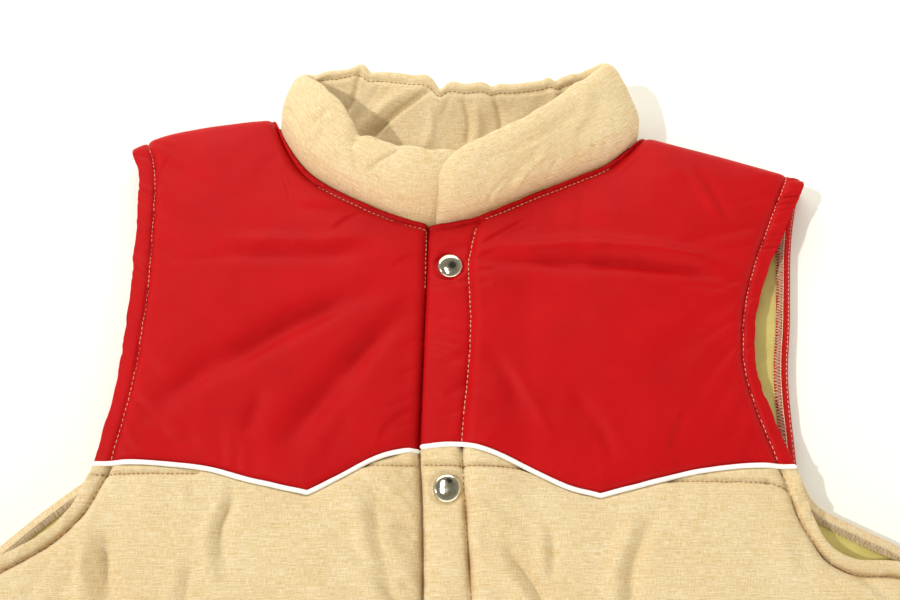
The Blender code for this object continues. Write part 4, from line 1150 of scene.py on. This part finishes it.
def collar():
    rows = np.array([tuple(r) for r in COLLAR], float)
    dense = smooth(rows, 30)
    place = np.linspace(0, len(rows) - 1, len(dense))
    s = arc((dense[:, :3] + dense[:, 3:6]) / 2)
    count = int(s[-1] / (1.15 * FINE))
    where = graded(count, True, True) * s[-1]
    ring = np.stack([np.interp(where, s, dense[:, k]) for k in range(7)], axis=1)
    place = np.interp(where, s, place)
    v = graded(int(62 / (1.15 * FINE)), True, True)
    seam, rim = ring[:, None, :3], ring[:, None, 3:6]
    mid = seam + (rim - seam) * v[None, :, None]
    ds, dv = np.gradient(mid, axis=0), np.gradient(mid, axis=1)
    out = np.cross(dv, ds)
    out /= np.maximum(np.linalg.norm(out, axis=2), 1e-9)[..., None]
    for _ in range(8):  # soften the turn over each shoulder
        out[1:-1] = (out[:-2] + 2 * out[1:-1] + out[2:]) / 4
        out /= np.linalg.norm(out, axis=2)[..., None]
    tall = np.linalg.norm(ring[:, 3:6] - ring[:, :3], axis=1)
    rising = (ring[:, 3:6] - ring[:, :3]) / tall[:, None]
    lump = 0.9 * noise1(where, 21.0, 171) + 0.6 * noise1(where, 10.0, 172)
    for r in RIM:
        lump = lump + r.height * np.exp(-(((where - np.interp(r.place, place, where)) / r.width) ** 2))
    from_seam, from_rim = v[None] * tall[:, None], (1 - v)[None] * tall[:, None]
    S = np.broadcast_to(where[:, None], from_seam.shape)
    to_over = s[-1] - where
    over_end = np.sqrt(1 - (1 - np.clip(to_over / 15, 0, 1)) ** 2)[:, None]
    end = np.minimum(np.sqrt(1 - (1 - np.clip(where / 6, 0, 1)) ** 2)[:, None], over_end)
    mid = mid + out * (3.0 * 4 * v * (1 - v))[None, :, None] + rising[:, None] * (lump[:, None] * v[None] ** 2)[..., None]
    mid = mid - out * (2.6 * (1 - over_end))[..., None]
    mid = mid + out * (0.9 * noise1(where, 26.0, 173)[:, None] * v[None] ** 2)[..., None]
    foot = collar_foot(ring[:, :3], place)
    swell = np.clip(ring[:, 6], 0.8, 1)[:, None]
    front = (ease((6.6 - place) / 1.5) + ease((place - 15.3) / 1.5))[:, None]
    faces = {}
    for face, sign in (("outer", 1), ("inner", -1)):
        h = COLLAR_LOFT / 2 * swell * (0.40 + 0.60 * rise(from_seam / 13, 2.0)) * np.sqrt(1 - (1 - np.clip(from_rim / 9.0, 0, 1)) ** 2)
        seed = 120 if face == "outer" else 140
        bump = 0.6 * noise2(S, from_seam, 34.0, seed) + 0.34 * noise2(S + 0.4 * from_seam, from_seam, 15.0, seed + 1) + 0.12 * noise2(S, from_seam, 7.0, seed + 2)
        bump = bump * ease(from_rim / 10) * ease(from_seam / 8)
        wave = noise1(S + 0.5 * from_rim, 7.0, seed + 8)
        bump = bump + 0.5 * (np.sqrt(wave * wave + 0.02) - 0.4) * np.exp(-from_rim / 9) * np.clip(0.5 + noise1(S, 25.0, seed + 9), 0, 1)
        if face == "outer":
            h = h + front * 2.4 * hump(from_seam / 32) * ease((from_seam + 2) / 12)
            bump = bump + gathers(S, from_seam, seed + 3, 0.35, 1.5)
        else:  # quilted near the rim
            h = h - 1.4 * np.exp(-(((from_rim - 7.5) / 1.8) ** 2))
            bump = bump + gathers(S, from_seam, seed + 3, 0.35, 1.0) + gathers(S, np.abs(from_rim - 7.5), seed + 5, 0.4, 1.9) * ease(from_rim / 4)
        for k, f in enumerate(COLLAR_FOLDS):
            if f.face != face:
                continue
            a = np.array([np.interp(f.place0, place, where), f.v0 * 55])
            b = np.array([np.interp(f.place1, place, where), f.v1 * 55])
            bow = np.array([b[1] - a[1], a[0] - b[0]]) * 0.08
            pts = np.stack([S, v[None] * 55 + 0 * S], axis=2).reshape(-1, 2)
            d, t, sg = nearest(pts, smooth([tuple(a), tuple((a + b) / 2 + bow), tuple(b)], 8))
            total = np.linalg.norm(b - a)
            taper = ease((t + 2) / (0.3 * total)) * ease((total - t + 2) / (0.3 * total))
            wide = f.width * (1 + 0.25 * noise1(t, 11.0, 160 + k))
            q = d / wide
            shape = sg * q * np.exp(0.5 - q * q / 2) if f.kind == "step" else np.exp(-(q**2)) * (1 if f.kind == "ridge" else -1)
            bump = bump + (f.height * taper * shape).reshape(S.shape)
        h = np.maximum(h * (0.22 + 0.78 * end) + bump * end * np.clip(h / 3, 0, 1), 0.3)
        cloth = mid + sign * out * h[..., None]
        w = (1 - ease(from_seam / (13 if face == "outer" else 8)))[..., None]
        sewn = foot[:, None] + (0 if face == "outer" else 1) * (-out[:, :1] * 3.0)
        faces[face] = cloth * (1 - w) + sewn * w
    uv = np.stack([S, from_seam], axis=2)
    obj = grid_solid("collar_cloth", faces["outer"][::-1], faces["inner"][::-1], uv[::-1], BEIGE)
    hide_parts("collar")
    # topstitching inside, below the rim
    threads = Threads()
    inner = faces["inner"]
    k = np.abs(from_rim - 7.5).argmin(1)
    lane = inner[np.arange(len(k)), k] - 0.05 * out[np.arange(len(k)), k]
    normal = -out[np.arange(len(k)), k]
    ls = arc(lane)
    pitch = 3.1
    for n in range(2, int(ls[-1] / pitch) - 2):
        q = np.linspace(n * pitch + 0.4, (n + 1) * pitch - 0.4, 5)
        p = np.stack([np.interp(q, ls, lane[:, c]) for c in range(3)], axis=1)
        up = np.stack([np.interp(q, ls, normal[:, c]) for c in range(3)], axis=1)
        p = p + up * np.array([-0.2, 0.2, 0.28, 0.2, -0.2])[:, None]
        threads.add(p, np.array([0.6, 1, 1.05, 1, 0.6]) * 0.24, up=tuple(up[2]))
    threads.piece("collar_stitches", TAN, "beige_slub")
    return obj


COLLAR_PIECE = collar()

# ---------------------------------------------------------------- piping


def piping(side):
    first, second = (smooth(r) for r in YOKE_EDGE[side])
    if side == "right":
        second = second[second[:, 0] < -16.5]
    plan = even(np.vstack([first, second[1:]]), 1.2 * FINE)
    tree = FRONT_TREE[side]
    z = np.maximum(drop(tree, plan + [0, 2.2]), drop(tree, plan - [0, 2.2]))
    kernel = np.ones(9) / 9
    z = np.convolve(np.pad(z, 4, mode="edge"), kernel, mode="valid") - 0.25
    s = arc(plan)
    path = np.column_stack([plan + np.stack([0 * s, 0.12 * noise1(s, 9.0, 201)], axis=1), z])
    radius = PIPING_R * (1 + 0.03 * noise1(s, 6.0, 202)) * np.minimum(1, 0.55 + np.minimum(s, s[-1] - s) / 1.6)
    sides = 14
    obj = new_piece(f"piping_{side}_cord", tube(path, radius, sides), np.array(tube_faces(len(path), sides, 0, False)), WHITE)
    mesh = obj.data
    import bmesh

    bm = bmesh.new()
    bm.from_mesh(mesh)
    bmesh.ops.holes_fill(bm, edges=[e for e in bm.edges if e.is_boundary], sides=0)
    bmesh.ops.recalc_face_normals(bm, faces=bm.faces)
    bm.to_mesh(mesh)
    bm.free()
    mesh.shade_smooth()
    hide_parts(f"piping_{side}")


piping("right")
piping("left")

# ---------------------------------------------------------------- topstitching on the fronts


def topstitching():
    cream, tan = Threads(), Threads()
    for side in ("right", "left"):
        tree = FRONT_TREE[side]
        sign = -1 if side == "right" else 1
        arm = even(np.vstack([smooth(FRONT_UNDERARM[side]), smooth(FRONT_ARMHOLE[side])[1:]]), 1.0)
        lane = arm
        for _ in range(4):  # the hem's width goes with the height of the lane itself
            lane = inset(arm, (line_x(BAND[side], lane[:, 1]) * sign)[:, None])
        lane = lane[nearest(lane, arm)[0] > 0.96 * line_x(BAND[side], lane[:, 1])]
        stitch_run(cream, tree, lane[(lane[:, 1] > -96) & (nearest(lane, smooth(SHOULDER[side]))[0] > 2)])
        stitch_run(tan, tree, lane[(np.abs(lane[:, 0]) < CHEST_HALF - 4) & (lane[:, 1] < -101)])
        edge = even(smooth(FRONT_NECK[side]), 2)
        neck = inset(edge, (line_x(NECK_BAND, edge[:, 1]) * sign)[:, None])
        over = neck[:, 0] - line_x(PLACKET_EDGE, neck[:, 1])
        if side == "left":
            neck = neck[(neck[:, 0] > line_x(PLACKET_STITCH, neck[:, 1])) & (neck[:, 0] < 104)]
        else:
            neck = neck[(over < -2.5) & (neck[:, 0] > -86)]
            down = np.linspace(neck[-1, 1] - 1, 8, 30)
            neck = np.vstack([neck, np.stack([line_x(PLACKET_EDGE, down) - 1.6, down], axis=1)])
        stitch_run(cream, tree, neck, radius=0.27, lift=0.22)
        hem = np.stack([np.linspace(sign * (HEM_HALF - 4), -14 if side == "right" else 12, 60), np.full(60, HEM_Y + HEM_BAND)], axis=1)
        stitch_run(tan, tree, hem)
    y = np.linspace(-86, 50.5, 80)
    stitch_run(cream, FRONT_TREE["left"], np.stack([line_x(PLACKET_STITCH, y), y], axis=1), radius=0.25, lift=0.2)
    y = np.linspace(HEM_Y + 2, -92, 160)
    stitch_run(tan, FRONT_TREE["left"], np.stack([line_x(PLACKET_STITCH, y), y], axis=1))
    for q in QUILT:
        stitch_run(tan, FRONT_TREE[q.side], np.linspace((q.x0, q.y0), (q.x1, q.y1), 40), pitch=2.6, radius=0.26)
    cream.piece("topstitches_on_red", CREAM, "beige_slub")
    tan.piece("topstitches_on_beige", TAN, "beige_slub")


topstitching()

# ---------------------------------------------------------------- snaps
SnapProfile = namedtuple("SnapProfile", "r z")
SNAP_PROFILE = [  # shares of the cap's radius and height
    SnapProfile(0.0, 1.0), SnapProfile(0.2, 0.993), SnapProfile(0.38, 0.97), SnapProfile(0.54, 0.935), SnapProfile(0.68, 0.885), SnapProfile(0.79, 0.82),
    SnapProfile(0.875, 0.73), SnapProfile(0.935, 0.62), SnapProfile(0.975, 0.48), SnapProfile(0.995, 0.32), SnapProfile(1.0, 0.18), SnapProfile(0.985, 0.06),
    SnapProfile(0.95, 0.0), SnapProfile(0.5, 0.0),
]


def snap(number):
    y = SNAP_TOP_Y - number * SNAP_PITCH
    x = float(line_x(PLACKET_EDGE, y)) + 13.5
    ring = np.array([[x + SNAP_R * math.cos(a), y + SNAP_R * math.sin(a)] for a in np.linspace(0, 2 * math.pi, 24)])
    z = float(np.median(drop(FRONT_TREE["left"], ring))) - 0.15
    sides = 64
    ang = np.linspace(0, 2 * math.pi, sides, endpoint=False)
    points, faces = [(x, y, z + SNAP_HEIGHT)], []
    for p in SNAP_PROFILE[1:]:
        ring = [(p.r * SNAP_R * math.cos(a), p.r * SNAP_R * math.sin(a)) for a in ang]
        points += [(x + dx, y + dy, z + p.z * SNAP_HEIGHT + 0.07 * dy - 0.02 * dx) for dx, dy in ring]
    for k in range(sides):
        faces.append((0, 1 + k, 1 + (k + 1) % sides))
    for r in range(len(SNAP_PROFILE) - 2):
        for k in range(sides):
            a, b = 1 + r * sides + k, 1 + r * sides + (k + 1) % sides
            faces.append((a, a + sides, b + sides, b))
    last = 1 + (len(SNAP_PROFILE) - 2) * sides
    faces.append(tuple(last + k for k in range(sides))[::-1])
    mesh = bpy.data.meshes.new(f"snap_cap_{number + 1}")
    mesh.from_pydata(((np.array(points) + SHIFT) * MM).tolist(), [], faces)
    mesh.materials.append(STEEL)
    mesh.shade_smooth()
    obj = bpy.data.objects.new(mesh.name, mesh)
    bpy.context.scene.collection.objects.link(obj)
    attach(obj, "root")
    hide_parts(f"snap_{number + 1}")


for n in range(SNAP_COUNT):
    snap(n)

# ---------------------------------------------------------------- floor, light and camera
floor_mesh = bpy.data.meshes.new("floor")
floor_mesh.from_pydata([(-4, -4, 0), (4, -4, 0), (4, 4, 0), (-4, 4, 0)], [], [(0, 1, 2, 3)])
floor = bpy.data.objects.new("floor", floor_mesh)
bpy.context.scene.collection.objects.link(floor)
floor.location.z = -0.0004
ground = Nodes("pale_floor")
ground.shader.inputs["Base Color"].default_value = (0.96, 0.95, 0.885, 1)
ground.shader.inputs["Roughness"].default_value = 0.9
ground.shader.inputs["Specular IOR Level"].default_value = 0.0
floor_mesh.materials.append(ground.mat)

world = bpy.data.worlds.new("studio")
bpy.context.scene.world = world
world.use_nodes = True
wn, wl = world.node_tree.nodes, world.node_tree.links
coord = wn.new("ShaderNodeTexCoord")
split = wn.new("ShaderNodeSeparateXYZ")
wl.new(coord.outputs["Generated"], split.inputs["Vector"])
ramp = wn.new("ShaderNodeValToRGB")  # bright walls, a darker ceiling that the snaps mirror
for position, colour in ((0.0, (1.0, 0.985, 0.93)), (0.62, (0.98, 0.965, 0.91)), (0.80, (0.46, 0.45, 0.38)), (1.0, (0.30, 0.285, 0.225))):
    if position in (0.0, 1.0):
        stop = ramp.color_ramp.elements[int(position)]
    else:
        stop = ramp.color_ramp.elements.new(position)
    stop.position, stop.color = position, (*colour, 1)
wl.new(split.outputs["Z"], ramp.inputs["Fac"])
back_node = wn["Background"]
front = wn.new("ShaderNodeVectorMath")  # more light low down on the hem's side
front.operation = "DOT_PRODUCT"
front.inputs[1].default_value = (0.42, -0.9, 0.0)
wl.new(coord.outputs["Generated"], front.inputs[0])
ahead = wn.new("ShaderNodeMath")
ahead.operation = "MAXIMUM"
ahead.inputs[1].default_value = 0.0
wl.new(front.outputs["Value"], ahead.inputs[0])
low_down = wn.new("ShaderNodeMapRange")
low_down.inputs["From Min"].default_value, low_down.inputs["From Max"].default_value = 0.72, 0.2
wl.new(split.outputs["Z"], low_down.inputs["Value"])
both = wn.new("ShaderNodeMath")
both.operation = "MULTIPLY"
wl.new(ahead.outputs[0], both.inputs[0])
wl.new(low_down.outputs["Result"], both.inputs[1])
more = wn.new("ShaderNodeMath")
more.operation = "MULTIPLY_ADD"
more.inputs[1].default_value, more.inputs[2].default_value = 4.2, 1.0
wl.new(both.outputs[0], more.inputs[0])
lit = wn.new("ShaderNodeVectorMath")
lit.operation = "SCALE"
near = wn.new("ShaderNodeVectorMath")  # a dark patch overhead, which the snaps mirror
near.operation = "DOT_PRODUCT"
near.inputs[1].default_value = Vector((0.11, 0.30, 0.94)).normalized()
wl.new(coord.outputs["Generated"], near.inputs[0])
patch_ramp = wn.new("ShaderNodeMapRange")
patch_ramp.inputs["From Min"].default_value, patch_ramp.inputs["From Max"].default_value = 0.988, 0.996
patch_ramp.inputs["To Min"].default_value, patch_ramp.inputs["To Max"].default_value = 1.0, 0.15
wl.new(near.outputs["Value"], patch_ramp.inputs["Value"])
scale = wn.new("ShaderNodeMath")
scale.operation = "MULTIPLY"
wl.new(more.outputs[0], scale.inputs[0])
wl.new(patch_ramp.outputs["Result"], scale.inputs[1])
wl.new(ramp.outputs["Color"], lit.inputs[0])
wl.new(scale.outputs[0], lit.inputs["Scale"])
wl.new(lit.outputs["Vector"], back_node.inputs["Color"])
back_node.inputs["Strength"].default_value = 0.70

key_data = bpy.data.lights.new("key", "SUN")
key_data.energy = 1.62
key_data.angle = math.radians(2)
key_data.color = (1.0, 0.985, 0.96)
key = bpy.data.objects.new("key", key_data)
bpy.context.scene.collection.objects.link(key)
LIGHT_FROM = Vector((-0.70, -0.14, 0.70))
key.rotation_euler = LIGHT_FROM.to_track_quat("Z", "Y").to_euler()

fill_data = bpy.data.lights.new("fill", "AREA")
fill_data.shape = "RECTANGLE"
fill_data.size, fill_data.size_y = 2.0, 0.9
fill_data.energy = 17.0
fill_data.color = (1.0, 0.985, 0.93)
fill = bpy.data.objects.new("fill", fill_data)
bpy.context.scene.collection.objects.link(fill)
FILL_FROM = Vector((-0.25, 1.15, 0.85))
fill.location = FILL_FROM + Vector(SHIFT) * MM
fill.rotation_euler = FILL_FROM.to_track_quat("Z", "Y").to_euler()

strip_data = bpy.data.lights.new("strip", "AREA")
strip_data.shape = "RECTANGLE"
strip_data.size, strip_data.size_y = 0.13, 0.5
strip_data.energy = 1.5
strip = bpy.data.objects.new("strip", strip_data)
bpy.context.scene.collection.objects.link(strip)
STRIP_FROM = Vector((-0.13, 0.0, 1.19))
strip.location = STRIP_FROM + Vector(SHIFT) * MM
strip.rotation_euler = (0.0, math.atan2(STRIP_FROM.x, STRIP_FROM.z), 0.0)  # its length along the vest

CAMERA_TILT, CAMERA_FAR, CAMERA_AIM = 24.0, 504.0, Vector((0, 0, 22.5))
tilt = math.radians(CAMERA_TILT)
eye = CAMERA_AIM + CAMERA_FAR * Vector((0, -math.sin(tilt), math.cos(tilt)))
camera_data = bpy.data.cameras.new("camera")
camera_data.sensor_width = 36.0
camera_data.lens = 34.0
camera_data.clip_start = 0.01
camera = bpy.data.objects.new("camera", camera_data)
bpy.context.scene.collection.objects.link(camera)
camera.location = (eye + Vector(SHIFT)) * MM
camera.rotation_euler = (tilt, 0, 0)
bpy.context.scene.camera = camera
bpy.context.scene.view_settings.view_transform = "Standard"

bpy.context.view_layer.update()
